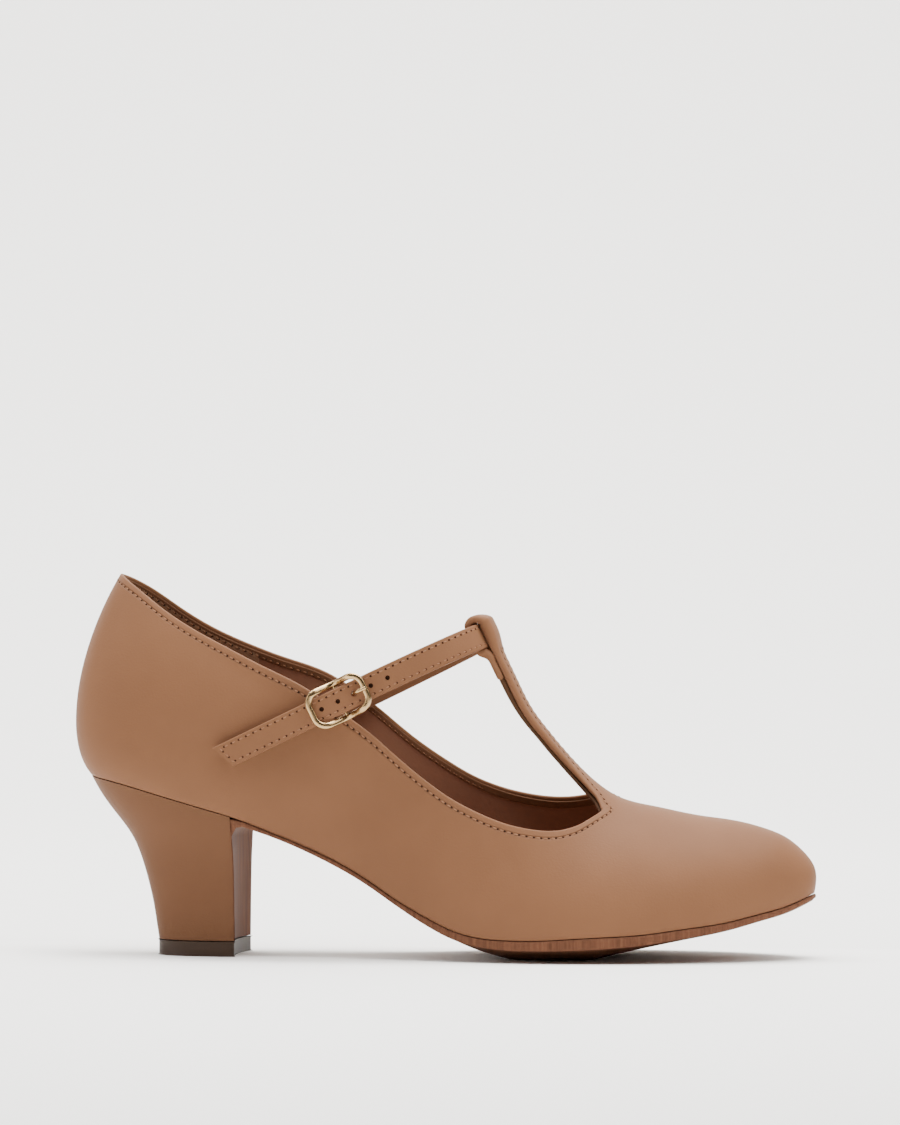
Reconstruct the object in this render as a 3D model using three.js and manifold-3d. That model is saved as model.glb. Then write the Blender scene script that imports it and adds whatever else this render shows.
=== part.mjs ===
// Character shoe, right foot: a leather T-strap pump on a flared heel.
// Millimetres. +X runs to the toe, +Y to the inner side of the foot, +Z up.
// The floor is z = 0, and x = 0 is the rearmost point of the upper.

import * as THREE from "three";
import { mergeVertices } from "three/addons/utils/BufferGeometryUtils.js";
import Module from "manifold-3d";

const wasm = await Module();
wasm.setup();

// Driving sizes of the last and the sole.
const LENGTH = 250;
const BALL_WIDTH = 76;
const HEEL_RISE = 60;
const BACK_HEIGHT = 66;
const TOE_SWING = 2;
const BACK_BLEND = 0.08;

// Walls and clearances.
const WALL = 1.8;
const GAP = 0.3;
const INSOLE_THICKNESS = 2;
const INSOLE_INSET = 0.6;
const INSOLE_LIFT = 0.2;
const SOLE_MARGIN = 0.5;
const TOP_CROWN = 0.45;
const NARROW_ROW = 20;

// Throat and T-bar.
const THROAT_AT = 182;
const THROAT_RADIUS = 3.4;
const BAR_WIDTH = 12;
const BAR_FOOT_WIDTH = 27;
const BAR_FLARE = 20;
const BAR_ARCH = 1;

// Ankle strap.
const STRAP_WIDTH = 8.5;
const STRAP_THICKNESS = 1.8;
const STRAP_SLOPE = 25.7 * Math.PI / 180;
const STRAP_FRONT_AT = 138.9;
const STRAP_FRONT_HEIGHT = 106.8;
const STRAP_INNER_ROUNDNESS = 2.6;
const STRAP_TIP_AT = 56;
const STRAP_TIP_SLANT = 3.7;
const STRAP_TIP_GAP = 1.6;
const STRAP_END_AT = 76;
const HOLE_BORE = 1.6;
const HOLE_PITCH = 6;
const HOLE_COUNT = 5;
const HOLE_FIRST = 2;

// Loop that the strap runs through.
const LOOP_WALL = 2.1;
const LOOP_SLACK = 0.5;
const LOOP_TAIL = 15;
const LOOP_CORNER = 0.4;
const LOOP_FOLD = 5;
const TAIL_GAP = 0.15;
const BAR_TURN = 24;

// Buckle, its prong and its tab.
const BUCKLE_AT = 94.8;
const BUCKLE_LENGTH = 21.4;
const BUCKLE_HEIGHT = 14;
const BUCKLE_BAND = 2.1;
const BUCKLE_DEPTH = 1.4;
const BUCKLE_CORNER = 5;
const BUCKLE_BOW = 7.5;
const BUCKLE_STANDOFF = 3.6;
const PIN_RADIUS = 0.6;
const PIN_GAP = 0.25;
const PRONG_RADIUS = 0.6;
const PRONG_EYE = 0.7;
const PRONG_HOLE_AT = 5.6;
const PRONG_HOLE_BORE = 2.1;
const TAB_WIDTH = 7.6;
const TAB_THICKNESS = 0.7;
const TAB_LENGTH = 14;

// Heel, top lift and the sole's turned-down end.
const LIFT_THICKNESS = 5;
const LIFT_BACK_AT = 29.3;
const LIFT_WIDTH = 33.2;
const BREAST_AT = 57.2;
const BREAST_HOLLOW = 2;
const LIFT_BACK_ROUND = 0.8;
const LIFT_SIDE_ROUND = 0.72;
const FLAP_THICKNESS = 1.6;
const FLAP_BEND = 4;
const FLAP_LEAD = 1.2;
const FLAP_CORNER = 1.8;
const FLAP_DROP = 3.2;
const BEND_DROP = 0.4;
const FLAT_SHARE = 0.4;

// Rows from the back of the heel round to the toe tip. Each holds the seam with
// the sole (along, outer and inner half widths), the ridge that its rib would
// reach, and the rib's two handles. Lengths are shares of LENGTH, widths of
// BALL_WIDTH and heights of BACK_HEIGHT.
const RIBS = table(
  ["along", "outer", "inner", "ridgeAlong", "ridgeSide", "ridgeRise",
    "lowOut", "lowUp", "highBack", "highSide", "highDown"],
  [0.025, 0.000, 0.000, 0.120, 0.000, 1.302, 0.168, 0.198, 0.111, 0.000, 0.429],
  [0.040, 0.164, 0.164, 0.124, 0.000, 1.303, 0.158, 0.205, 0.088, 0.184, 0.424],
  [0.082, 0.274, 0.271, 0.144, 0.000, 1.318, 0.138, 0.212, 0.048, 0.289, 0.379],
  [0.144, 0.321, 0.313, 0.192, 0.000, 1.348, 0.118, 0.220, 0.028, 0.329, 0.303],
  [0.212, 0.326, 0.303, 0.256, 0.000, 1.379, 0.112, 0.235, 0.016, 0.355, 0.212],
  [0.280, 0.305, 0.274, 0.340, 0.000, 1.439, 0.118, 0.265, 0.008, 0.368, 0.182],
  [0.348, 0.284, 0.245, 0.428, 0.000, 1.485, 0.132, 0.318, 0.000, 0.368, 0.152],
  [0.416, 0.295, 0.245, 0.508, 0.000, 1.485, 0.132, 0.379, 0.000, 0.329, 0.061],
  [0.480, 0.350, 0.300, 0.566, 0.000, 1.379, 0.099, 0.455, 0.000, 0.276, 0.000],
  [0.540, 0.424, 0.382, 0.606, 0.011, 1.190, 0.053, 0.515, 0.000, 0.276, 0.000],
  [0.604, 0.482, 0.455, 0.662, 0.026, 0.924, 0.033, 0.455, 0.000, 0.289, 0.000],
  [0.672, 0.500, 0.493, 0.726, 0.043, 0.700, 0.024, 0.364, 0.000, 0.263, 0.000],
  [0.740, 0.484, 0.500, 0.784, 0.050, 0.621, 0.024, 0.303, 0.000, 0.275, 0.000],
  [0.808, 0.439, 0.466, 0.850, 0.053, 0.550, 0.024, 0.258, 0.000, 0.263, 0.000],
  [0.874, 0.369, 0.399, 0.908, 0.050, 0.480, 0.026, 0.227, 0.000, 0.230, 0.000],
  [0.930, 0.272, 0.297, 0.957, 0.042, 0.365, 0.029, 0.189, 0.000, 0.180, 0.000],
  [0.970, 0.168, 0.182, 0.985, 0.034, 0.232, 0.025, 0.130, 0.000, 0.112, 0.000],
  [0.990, 0.086, 0.091, 0.997, 0.029, 0.111, 0.013, 0.064, 0.000, 0.055, 0.000],
  [0.995, 0.000, 0.000, 0.995, 0.026, 0.000, 0.000, 0.000, 0.000, 0.000, 0.000],
);

// Height of the seam between upper and sole, as a share of HEEL_RISE.
const SEAM = table(
  ["along", "height"],
  [0.022, 1.000],
  [0.062, 0.973],
  [0.120, 0.912],
  [0.188, 0.832],
  [0.236, 0.772],
  [0.282, 0.698],
  [0.350, 0.578],
  [0.410, 0.442],
  [0.444, 0.350],
  [0.495, 0.235],
  [0.528, 0.175],
  [0.564, 0.138],
  [0.602, 0.127],
  [0.648, 0.128],
  [0.695, 0.140],
  [0.740, 0.150],
  [0.782, 0.162],
  [0.836, 0.192],
  [0.892, 0.227],
  [0.927, 0.263],
  [0.963, 0.303],
  [0.996, 0.365],
);

// Height of the topline over the seam on each side, as a share of BACK_HEIGHT.
const TOPLINE = table(
  ["along", "outer", "inner"],
  [0.062, 1.027, 1.027],
  [0.098, 0.989, 0.992],
  [0.144, 0.924, 0.921],
  [0.200, 0.864, 0.864],
  [0.260, 0.824, 0.848],
  [0.324, 0.804, 0.862],
  [0.376, 0.768, 0.832],
  [0.424, 0.743, 0.796],
  [0.468, 0.701, 0.772],
  [0.512, 0.660, 0.748],
  [0.556, 0.624, 0.724],
  [0.596, 0.580, 0.698],
  [0.640, 0.546, 0.681],
  [0.672, 0.540, 0.684],
  [0.704, 0.574, 0.704],
  [0.736, 0.637, 0.736],
);

// Lower edge of the sole and the tread's centre line over the floor, as shares
// of HEEL_RISE. The tread stands flat where its line falls below zero.
const TREAD = table(
  ["along", "edge", "centre"],
  [0.236, 0.738, 0.734],
  [0.282, 0.673, 0.668],
  [0.350, 0.548, 0.541],
  [0.410, 0.410, 0.400],
  [0.444, 0.317, 0.304],
  [0.495, 0.190, 0.170],
  [0.534, 0.118, 0.084],
  [0.574, 0.082, 0.026],
  [0.612, 0.070, -0.008],
  [0.649, 0.070, -0.013],
  [0.695, 0.075, -0.007],
  [0.726, 0.082, 0.020],
  [0.782, 0.103, 0.072],
  [0.836, 0.140, 0.119],
  [0.892, 0.183, 0.170],
  [0.927, 0.223, 0.213],
  [0.963, 0.268, 0.260],
  [0.997, 0.338, 0.331],
);

// How far the heel has drawn in between its seat (rise 1) and its lift (rise 0).
const HEEL_FLARE = table(
  ["rise", "drawnIn"],
  [0.00, 1.000],
  [0.10, 0.966],
  [0.25, 0.912],
  [0.40, 0.832],
  [0.55, 0.726],
  [0.70, 0.546],
  [0.80, 0.342],
  [0.90, 0.148],
  [1.00, 0.000],
);

function table(columns, ...rows) {
  return rows.map((row) => Object.fromEntries(columns.map((name, i) => [name, row[i]])));
}

// Natural cubic through the knots (xs, ys).
function naturalCurve(xs, ys) {
  const last = xs.length - 1;
  const bend = new Array(last + 1).fill(0);
  const carry = new Array(last + 1).fill(0);
  for (let i = 1; i < last; i += 1) {
    const share = (xs[i] - xs[i - 1]) / (xs[i + 1] - xs[i - 1]);
    const pivot = share * bend[i - 1] + 2;
    const slopes = (ys[i + 1] - ys[i]) / (xs[i + 1] - xs[i]) - (ys[i] - ys[i - 1]) / (xs[i] - xs[i - 1]);
    bend[i] = (share - 1) / pivot;
    carry[i] = (6 * slopes / (xs[i + 1] - xs[i - 1]) - share * carry[i - 1]) / pivot;
  }
  for (let i = last - 1; i > 0; i -= 1) {
    bend[i] = bend[i] * bend[i + 1] + carry[i];
  }
  bend[0] = 0;
  return (x) => {
    let i = 0;
    while (i < last - 1 && x > xs[i + 1]) {
      i += 1;
    }
    const width = xs[i + 1] - xs[i];
    const a = (xs[i + 1] - x) / width;
    const b = (x - xs[i]) / width;
    const cubic = ((a ** 3 - a) * bend[i] + (b ** 3 - b) * bend[i + 1]) * width * width / 6;
    return a * ys[i] + b * ys[i + 1] + cubic;
  };
}

function column(rows, across, name) {
  return naturalCurve(rows.map((row) => row[across]), rows.map((row) => row[name]));
}

// A rib column runs over stations 0 to 1. Mirrored past both ends, it leaves the
// back and the toe tip smoothly: even columns level, odd ones through zero.
function ribColumn(name, sign) {
  const steps = RIBS.length - 1;
  const xs = [];
  const ys = [];
  for (let i = -5; i <= steps + 5; i += 1) {
    const inside = i < 0 ? -i : i > steps ? 2 * steps - i : i;
    xs.push(i / steps);
    ys.push(RIBS[inside][name] * (inside === i ? 1 : sign));
  }
  return naturalCurve(xs, ys);
}

const ribAlong = ribColumn("along", 1);
const ribHalf = { "-1": ribColumn("outer", -1), "1": ribColumn("inner", -1) };
const stationCurve = (name) => naturalCurve(RIBS.map((_, i) => i / (RIBS.length - 1)), RIBS.map((row) => row[name]));
const ridgeAlong = stationCurve("ridgeAlong");
const ridgeSide = stationCurve("ridgeSide");
const ridgeRise = stationCurve("ridgeRise");
const lowOut = stationCurve("lowOut");
const lowUp = stationCurve("lowUp");
const highBack = stationCurve("highBack");
const highSide = stationCurve("highSide");
const highDown = stationCurve("highDown");
const seamShare = column(SEAM, "along", "height");
const topShare = { "-1": column(TOPLINE, "along", "outer"), "1": column(TOPLINE, "along", "inner") };
const treadEdge = column(TREAD, "along", "edge");
const treadCentre = column(TREAD, "along", "centre");
const flare = column(HEEL_FLARE, "rise", "drawnIn");

const clamp = (value, low, high) => Math.min(high, Math.max(low, value));
const smooth = (value) => {
  const t = clamp(value, 0, 1);
  return t * t * (3 - 2 * t);
};

// Finds where a rising function of a share between low and high passes zero.
function crossing(test, low, high) {
  let a = low;
  let b = high;
  for (let i = 0; i < 40; i += 1) {
    const middle = (a + b) / 2;
    if (test(middle) > 0) {
      b = middle;
    } else {
      a = middle;
    }
  }
  return (a + b) / 2;
}

const seamHeight = (x) => HEEL_RISE * seamShare(x / LENGTH);

// A point of the seam at station s. Side -1 is the outer side, 1 the inner side.
function seamPoint(s, side) {
  const x = LENGTH * ribAlong(s);
  const swing = TOE_SWING * smooth(2 * s - 1);
  return new THREE.Vector3(x, swing + side * BALL_WIDTH * ribHalf[side](s), seamHeight(x));
}

// Level direction out of the seam's outline.
function seamOutward(s, side) {
  const step = 0.002;
  const ahead = seamPoint(s + step, side);
  const behind = seamPoint(s - step, side);
  const out = new THREE.Vector3(ahead.y - behind.y, behind.x - ahead.x, 0).normalize();
  return out.multiplyScalar(-side);
}

function ridgePoint(s) {
  const x = LENGTH * ridgeAlong(s);
  const seam = seamHeight(LENGTH * ribAlong(s));
  return new THREE.Vector3(x, BALL_WIDTH * ridgeSide(s), seam + BACK_HEIGHT * ridgeRise(s));
}

// The last's outer surface: a cubic rib from the seam (v = 0) to the ridge (v = 1).
// The toe tip is a single point.
function lastPoint(s, side, v) {
  const seam = seamPoint(s, side);
  if (s === 1) {
    return seam;
  }
  const ridge = ridgePoint(s);
  const low = seam.clone().addScaledVector(seamOutward(s, side), BALL_WIDTH * lowOut(s));
  low.z += BACK_HEIGHT * lowUp(s);
  const high = ridge.clone();
  high.x -= LENGTH * highBack(s);
  high.y += side * BALL_WIDTH * highSide(s);
  high.z -= BACK_HEIGHT * highDown(s);
  return new THREE.CubicBezierCurve3(seam, low, high, ridge).getPoint(v);
}

function toplineHeight(x, side) {
  return seamHeight(x) + BACK_HEIGHT * topShare[side](x / LENGTH);
}

// Share of the rib where the topline cuts it. Both sides meet at the back.
function toplineShare(s, side) {
  const cut = (way) => crossing((v) => {
    const point = lastPoint(s, way, v);
    return point.z - toplineHeight(point.x, way);
  }, 0.1, 0.99);
  const own = smooth(s / BACK_BLEND);
  return cut(side) * (1 + own) / 2 + cut(-side) * (1 - own) / 2;
}

// Half width of the T-bar, which flares into the vamp at its foot.
function barHalf(x) {
  const reach = clamp((THROAT_AT - x) / BAR_FLARE, 0, 1);
  const flareShare = (1 - reach) ** 2.4;
  return (BAR_WIDTH + (BAR_FOOT_WIDTH - BAR_WIDTH) * flareShare) / 2;
}

// Share of the rib where the T-bar's edge runs.
function barShare(s, side) {
  const ridge = ridgePoint(s);
  return crossing((v) => barHalf(ridge.x) - Math.abs(lastPoint(s, side, v).y - ridge.y), 0.2, 0.9999);
}

// Station of the throat, where topline and bar meet in a round corner.
const throatStation = crossing((s) => ridgePoint(s).x - THROAT_AT, 0.4, 0.8);
const stationPerMm = (() => {
  const step = 0.004;
  const apart = ridgePoint(throatStation).x - ridgePoint(throatStation - step).x;
  return step / apart;
})();

// Both edges of an opening close on its middle in a half round at the throat.
function openingShares(s, side) {
  const low = toplineShare(s, side);
  const high = barShare(s, side);
  const depth = (throatStation - s) / stationPerMm;
  const closing = Math.sqrt(1 - (1 - clamp(depth / THROAT_RADIUS, 0, 1)) ** 2);
  const middle = (low + high) / 2;
  const half = (high - low) / 2 * closing;
  return { low: middle - half, high: middle + half };
}

// The strap lies in one plane that falls to the back. These are its directions.
const strapAlong = new THREE.Vector3(Math.cos(STRAP_SLOPE), 0, Math.sin(STRAP_SLOPE));
const strapUp = new THREE.Vector3(-Math.sin(STRAP_SLOPE), 0, Math.cos(STRAP_SLOPE));
const strapFront = new THREE.Vector3(STRAP_FRONT_AT, 0, STRAP_FRONT_HEIGHT);

// The bar's last station, where the tail of its folded end stops behind it.
const heightAlongBar = (at) => at.clone().sub(strapFront).dot(strapUp);
const barStation = crossing((s) => -LOOP_TAIL - heightAlongBar(ridgePoint(s)), 0.36, throatStation);

// A point of the bar where it lies along the strap's own plane: out is towards
// the toe, up along the strap's width and share from -1 to 1 across the bar.
function planePoint(out, up, share) {
  const at = strapFront.clone().addScaledVector(strapAlong, out - BAR_ARCH * share * share);
  at.addScaledVector(strapUp, up);
  at.y = share * BAR_WIDTH / 2;
  return at;
}

const LOOP_INSIDE = STRAP_THICKNESS / 2 + LOOP_SLACK;
const LOOP_OUTSIDE = LOOP_INSIDE + LOOP_WALL;

// The bar's surface leaves the last and turns into the strap's plane.
function barPoint(s, side, v) {
  const at = lastPoint(s, side, v);
  const up = heightAlongBar(ridgePoint(s));
  const turned = smooth(1 + (up + LOOP_TAIL) / BAR_TURN);
  const share = (at.y - ridgePoint(s).y) / (BAR_WIDTH / 2);
  const along = heightAlongBar(at) * (1 - turned) + up * turned;
  return at.lerp(planePoint(LOOP_OUTSIDE, along, share), turned);
}

// Collects triangles and returns closed solids.
class Skin {
  constructor() {
    this.points = [];
    this.faces = [];
    this.slots = new Map();
  }

  point(at, depth = 0, level = false) {
    const key = [at.x, at.y, at.z].map((value) => Math.round(value * 1000)).join(" ");
    if (!this.slots.has(key)) {
      this.slots.set(key, this.points.length);
      this.points.push({ at: at.clone(), depth, level });
    }
    return this.slots.get(key);
  }

  face(a, b, c) {
    if (a !== b && b !== c && c !== a) {
      this.faces.push([a, b, c]);
    }
  }

  quad(a, b, c, d) {
    this.face(a, b, c);
    this.face(a, c, d);
  }

  // A grid of rows of point numbers, its faces turned by flip.
  grid(rows, flip) {
    for (let i = 0; i + 1 < rows.length; i += 1) {
      for (let j = 0; j + 1 < rows[i].length; j += 1) {
        const corners = [rows[i][j], rows[i + 1][j], rows[i + 1][j + 1], rows[i][j + 1]];
        if (flip) {
          corners.reverse();
        }
        this.quad(...corners);
      }
    }
  }

  // Gives the skin its thickness inwards and closes its borders.
  thicken() {
    const normals = this.points.map(() => new THREE.Vector3());
    for (const [a, b, c] of this.faces) {
      const edge = this.points[b].at.clone().sub(this.points[a].at);
      const across = edge.cross(this.points[c].at.clone().sub(this.points[a].at));
      for (const corner of [a, b, c]) {
        normals[corner].add(across);
      }
    }
    const outside = this.points.length;
    const outerFaces = this.faces.slice();
    for (let i = 0; i < outside; i += 1) {
      const { at, depth, level } = this.points[i];
      const normal = normals[i];
      if (level) {
        normal.z = 0;
      }
      this.points.push({ at: at.clone().addScaledVector(normal.normalize(), -depth) });
    }
    const edges = new Map();
    for (const [a, b, c] of outerFaces) {
      this.faces.push([a + outside, c + outside, b + outside]);
      for (const [from, to] of [[a, b], [b, c], [c, a]]) {
        edges.set(`${from} ${to}`, [from, to]);
      }
    }
    for (const [from, to] of edges.values()) {
      if (!edges.has(`${to} ${from}`)) {
        this.quad(to, from, from + outside, to + outside);
      }
    }
    return this;
  }

  geometry() {
    const geometry = new THREE.BufferGeometry();
    const flat = this.points.flatMap(({ at }) => at.toArray());
    geometry.setAttribute("position", new THREE.Float32BufferAttribute(flat, 3));
    geometry.setIndex(this.faces.flat());
    return geometry;
  }
}

function solidOf(geometry) {
  const bare = geometry.clone();
  bare.deleteAttribute("normal");
  bare.deleteAttribute("uv");
  const merged = mergeVertices(bare, 1e-4);
  return new wasm.Manifold(new wasm.Mesh({
    numProp: 3,
    vertProperties: new Float32Array(merged.attributes.position.array),
    triVerts: new Uint32Array(merged.index.array),
  }));
}

function geometryOf(solid) {
  const mesh = solid.getMesh();
  const geometry = new THREE.BufferGeometry();
  geometry.setAttribute("position", new THREE.BufferAttribute(mesh.vertProperties, 3));
  geometry.setIndex(new THREE.BufferAttribute(mesh.triVerts, 1));
  return geometry;
}

const spread = (from, to, steps) => Array.from({ length: steps + 1 }, (_, i) => from + (to - from) * i / steps);

// Stations that crowd together in the throat's corner and at the back.
const cornerStations = spread(0, Math.PI / 2, 4)
  .map((turn) => throatStation - stationPerMm * THROAT_RADIUS * (1 - Math.cos(turn)));
const roundedStation = cornerStations.at(-1);
const barStations = [...cornerStations, ...spread(roundedStation, barStation, 9).slice(1)];
const quarterStations = [...barStations, ...spread(barStation, 0, 20).slice(1)];
const vampStations = spread(throatStation, 1, 16);

// Depth of the bar's leather, from the wall's at the throat to the loop's.
function barDepth(s) {
  const foot = smooth((throatStation - s) / stationPerMm / BAR_FLARE);
  return WALL + (LOOP_WALL - WALL) * foot;
}

// The outer face of the folded end: up the front of the strap, over it, down
// behind it and on along the back of the bar.
function loopPath() {
  const top = STRAP_WIDTH / 2 - LOOP_CORNER;
  const bottom = -STRAP_WIDTH / 2;
  const tailOut = LOOP_OUTSIDE - 2 * LOOP_WALL - TAIL_GAP;
  const front = spread(-LOOP_TAIL, top, 5).slice(1).map((up) => new THREE.Vector2(LOOP_OUTSIDE, up));
  const over = spread(0, Math.PI, 8).slice(1).map((turn) => (
    new THREE.Vector2(LOOP_OUTSIDE * Math.cos(turn), top + LOOP_OUTSIDE * Math.sin(turn))
  ));
  const fold = new THREE.CubicBezierCurve(
    new THREE.Vector2(-LOOP_OUTSIDE, bottom),
    new THREE.Vector2(-LOOP_OUTSIDE, bottom - LOOP_FOLD / 2),
    new THREE.Vector2(tailOut, bottom - LOOP_FOLD / 2),
    new THREE.Vector2(tailOut, bottom - LOOP_FOLD),
  );
  return [...front, ...over, ...fold.getPoints(6), new THREE.Vector2(tailOut, -LOOP_TAIL)];
}

const SIDE_ROWS = 8;
const CREST_ROWS = 4;

function upperGeometry() {
  const skin = new Skin();
  const row = (s, side, from, to, steps, depth, pointAt) => spread(from, to, steps)
    .map((v) => skin.point(pointAt(s, side, v), depth, v === 0));
  for (const side of [-1, 1]) {
    const throat = openingShares(throatStation, side).low;
    const wall = quarterStations.map((s) => (
      row(s, side, 0, openingShares(s, side).low, SIDE_ROWS, WALL, lastPoint)
    ));
    const vampSide = vampStations.map((s) => row(s, side, 0, throat, SIDE_ROWS, WALL, lastPoint));
    const vampTop = vampStations.map((s) => row(s, side, throat, 1, CREST_ROWS, WALL, lastPoint));
    const bar = barStations.map((s) => (
      row(s, side, openingShares(s, side).high, 1, CREST_ROWS, barDepth(s), barPoint)
    ));
    const shares = barStations.at(-1);
    const edge = openingShares(shares, side).high;
    const across = spread(edge, 1, CREST_ROWS)
      .map((v) => (barPoint(shares, side, v).y) / (BAR_WIDTH / 2));
    const loop = loopPath().map(({ x, y }) => (
      across.map((share) => skin.point(planePoint(x, y, share), LOOP_WALL))
    ));
    skin.grid(wall, side < 0);
    skin.grid([...bar, ...loop], side < 0);
    skin.grid(vampSide, side > 0);
    skin.grid(vampTop, side > 0);
  }
  return skin.thicken().geometry();
}

// A closed plate between two sheets of rows that share their borders.
function plateGeometry(topRows, lowRows, flip) {
  const skin = new Skin();
  const number = (rows) => rows.map((row) => row.map((at) => skin.point(at)));
  const top = number(topRows);
  const low = number(lowRows);
  skin.grid(top, flip);
  skin.grid(low, !flip);
  const last = top.length - 1;
  const end = top[0].length - 1;
  for (let i = 0; i < last; i += 1) {
    skin.grid([[top[i][0], low[i][0]], [top[i + 1][0], low[i + 1][0]]], !flip);
    skin.grid([[top[i][end], low[i][end]], [top[i + 1][end], low[i + 1][end]]], flip);
  }
  for (let j = 0; j < end; j += 1) {
    skin.grid([[top[0][j], low[0][j]], [top[0][j + 1], low[0][j + 1]]], flip);
    skin.grid([[top[last][j], low[last][j]], [top[last][j + 1], low[last][j + 1]]], !flip);
  }
  return skin.geometry();
}

const ACROSS = spread(-1, 1, 10);

// The bed under the foot dips in the middle where the sole does.
function bedDip(x) {
  const share = x / LENGTH;
  const crown = treadEdge(share) - Math.max(0, treadCentre(share));
  return HEEL_RISE * TOP_CROWN * crown * smooth((share - 0.24) / 0.12);
}

// Points across the outline at station s. Where the row is narrow, as at the toe
// tip, its middle counts as edge too, so that the row can close on a point.
function outlineRow(s, inset, height) {
  const outer = seamPoint(s, -1).addScaledVector(seamOutward(s, -1), -inset);
  const inner = seamPoint(s, 1).addScaledVector(seamOutward(s, 1), -inset);
  const open = smooth(outer.distanceTo(inner) / NARROW_ROW);
  return ACROSS.map((w) => {
    const at = outer.clone().lerp(inner, (1 + w) / 2);
    at.z = height(at.x, 1 - (1 - Math.abs(w)) * open);
    return at;
  });
}

function insoleGeometry() {
  const stations = [...spread(0, 0.1, 4), ...spread(0.1, 0.9, 16).slice(1), ...spread(0.9, 1, 5).slice(1)];
  const inset = WALL + INSOLE_INSET;
  const bed = (x, w) => seamHeight(x) + INSOLE_LIFT - bedDip(x) * (1 - w * w);
  const top = stations.map((s) => outlineRow(s, inset, (x, w) => bed(x, w) + INSOLE_THICKNESS));
  const low = stations.map((s) => outlineRow(s, inset, bed));
  return plateGeometry(top, low, false);
}

// The front of the heel is hollow across. Shares: -1 outer edge, 1 inner edge.
const breastAt = (w) => BREAST_AT - BREAST_HOLLOW * (1 - w * w);
const liftHalf = LIFT_WIDTH / 2;
const seatStation = crossing((s) => LENGTH * ribAlong(s) - BREAST_AT, 0.1, 0.5);

// One ring of the heel at a share of its rise: round the back, then the breast.
function heelRing(rise, frontGap) {
  const back = spread(-1, 1, 24).map((turn) => {
    const side = turn < 0 ? -1 : 1;
    const s = seatStation * Math.abs(turn);
    const seat = seamPoint(s, side);
    const seatFront = seamPoint(seatStation, side).x;
    seat.x -= frontGap * (seat.x - seamPoint(0, 1).x) / (seatFront - seamPoint(0, 1).x);
    const angle = Math.abs(turn) * Math.PI / 2;
    const front = BREAST_AT - frontGap;
    const round = new THREE.Vector3(
      front - (front - LIFT_BACK_AT) * Math.cos(angle) ** LIFT_BACK_ROUND,
      side * liftHalf * Math.sin(angle) ** LIFT_SIDE_ROUND,
      0,
    );
    const at = seat.lerp(round, flare(rise));
    at.z = LIFT_THICKNESS + GAP + rise * (seamHeight(at.x) - GAP - LIFT_THICKNESS - GAP);
    return at;
  });
  const outer = back[0];
  const inner = back.at(-1);
  const breast = spread(-1, 1, 8).slice(1, -1).map((w) => {
    const at = outer.clone().lerp(inner, (1 + w) / 2);
    at.x -= BREAST_HOLLOW * (1 - w * w);
    at.z = LIFT_THICKNESS + GAP + rise * (seamHeight(at.x) - GAP - LIFT_THICKNESS - GAP);
    return at;
  });
  return { back, breast };
}

// Rings of points stacked into a solid. Each end is closed by strips across it.
function stackGeometry(rings) {
  const skin = new Skin();
  const loops = rings.map(({ back, breast }) => {
    const around = [...back, ...breast.slice().reverse(), back[0]];
    return around.map((at) => skin.point(at));
  });
  skin.grid(loops, false);
  const close = ({ back, breast }, flip) => {
    const half = (back.length - 1) / 2;
    const rows = [];
    for (let i = 0; i <= half; i += 1) {
      const from = back[i];
      const to = back[back.length - 1 - i];
      const between = i === 0 ? breast : breast.map((_, j) => {
        const share = (j + 1) / (breast.length + 1);
        const at = from.clone().lerp(to, share);
        at.x -= BREAST_HOLLOW * (1 - (2 * share - 1) ** 2) * Math.max(0, 1 - i / 3);
        return at;
      });
      rows.push([from, ...between, to].map((at) => skin.point(at)));
    }
    skin.grid(rows, flip);
  };
  close(rings[0], false);
  close(rings.at(-1), true);
  return skin.geometry();
}

function heelGeometry() {
  const frontGap = FLAP_THICKNESS + GAP;
  return stackGeometry(spread(0, 1, 12).map((rise) => heelRing(rise, frontGap)));
}

function liftGeometry() {
  const ring = heelRing(0, 0);
  const at = (height) => ({
    back: ring.back.map((point) => point.clone().setZ(height)),
    breast: ring.breast.map((point) => point.clone().setZ(height)),
  });
  return stackGeometry([at(0), at(LIFT_THICKNESS)]);
}

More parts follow.
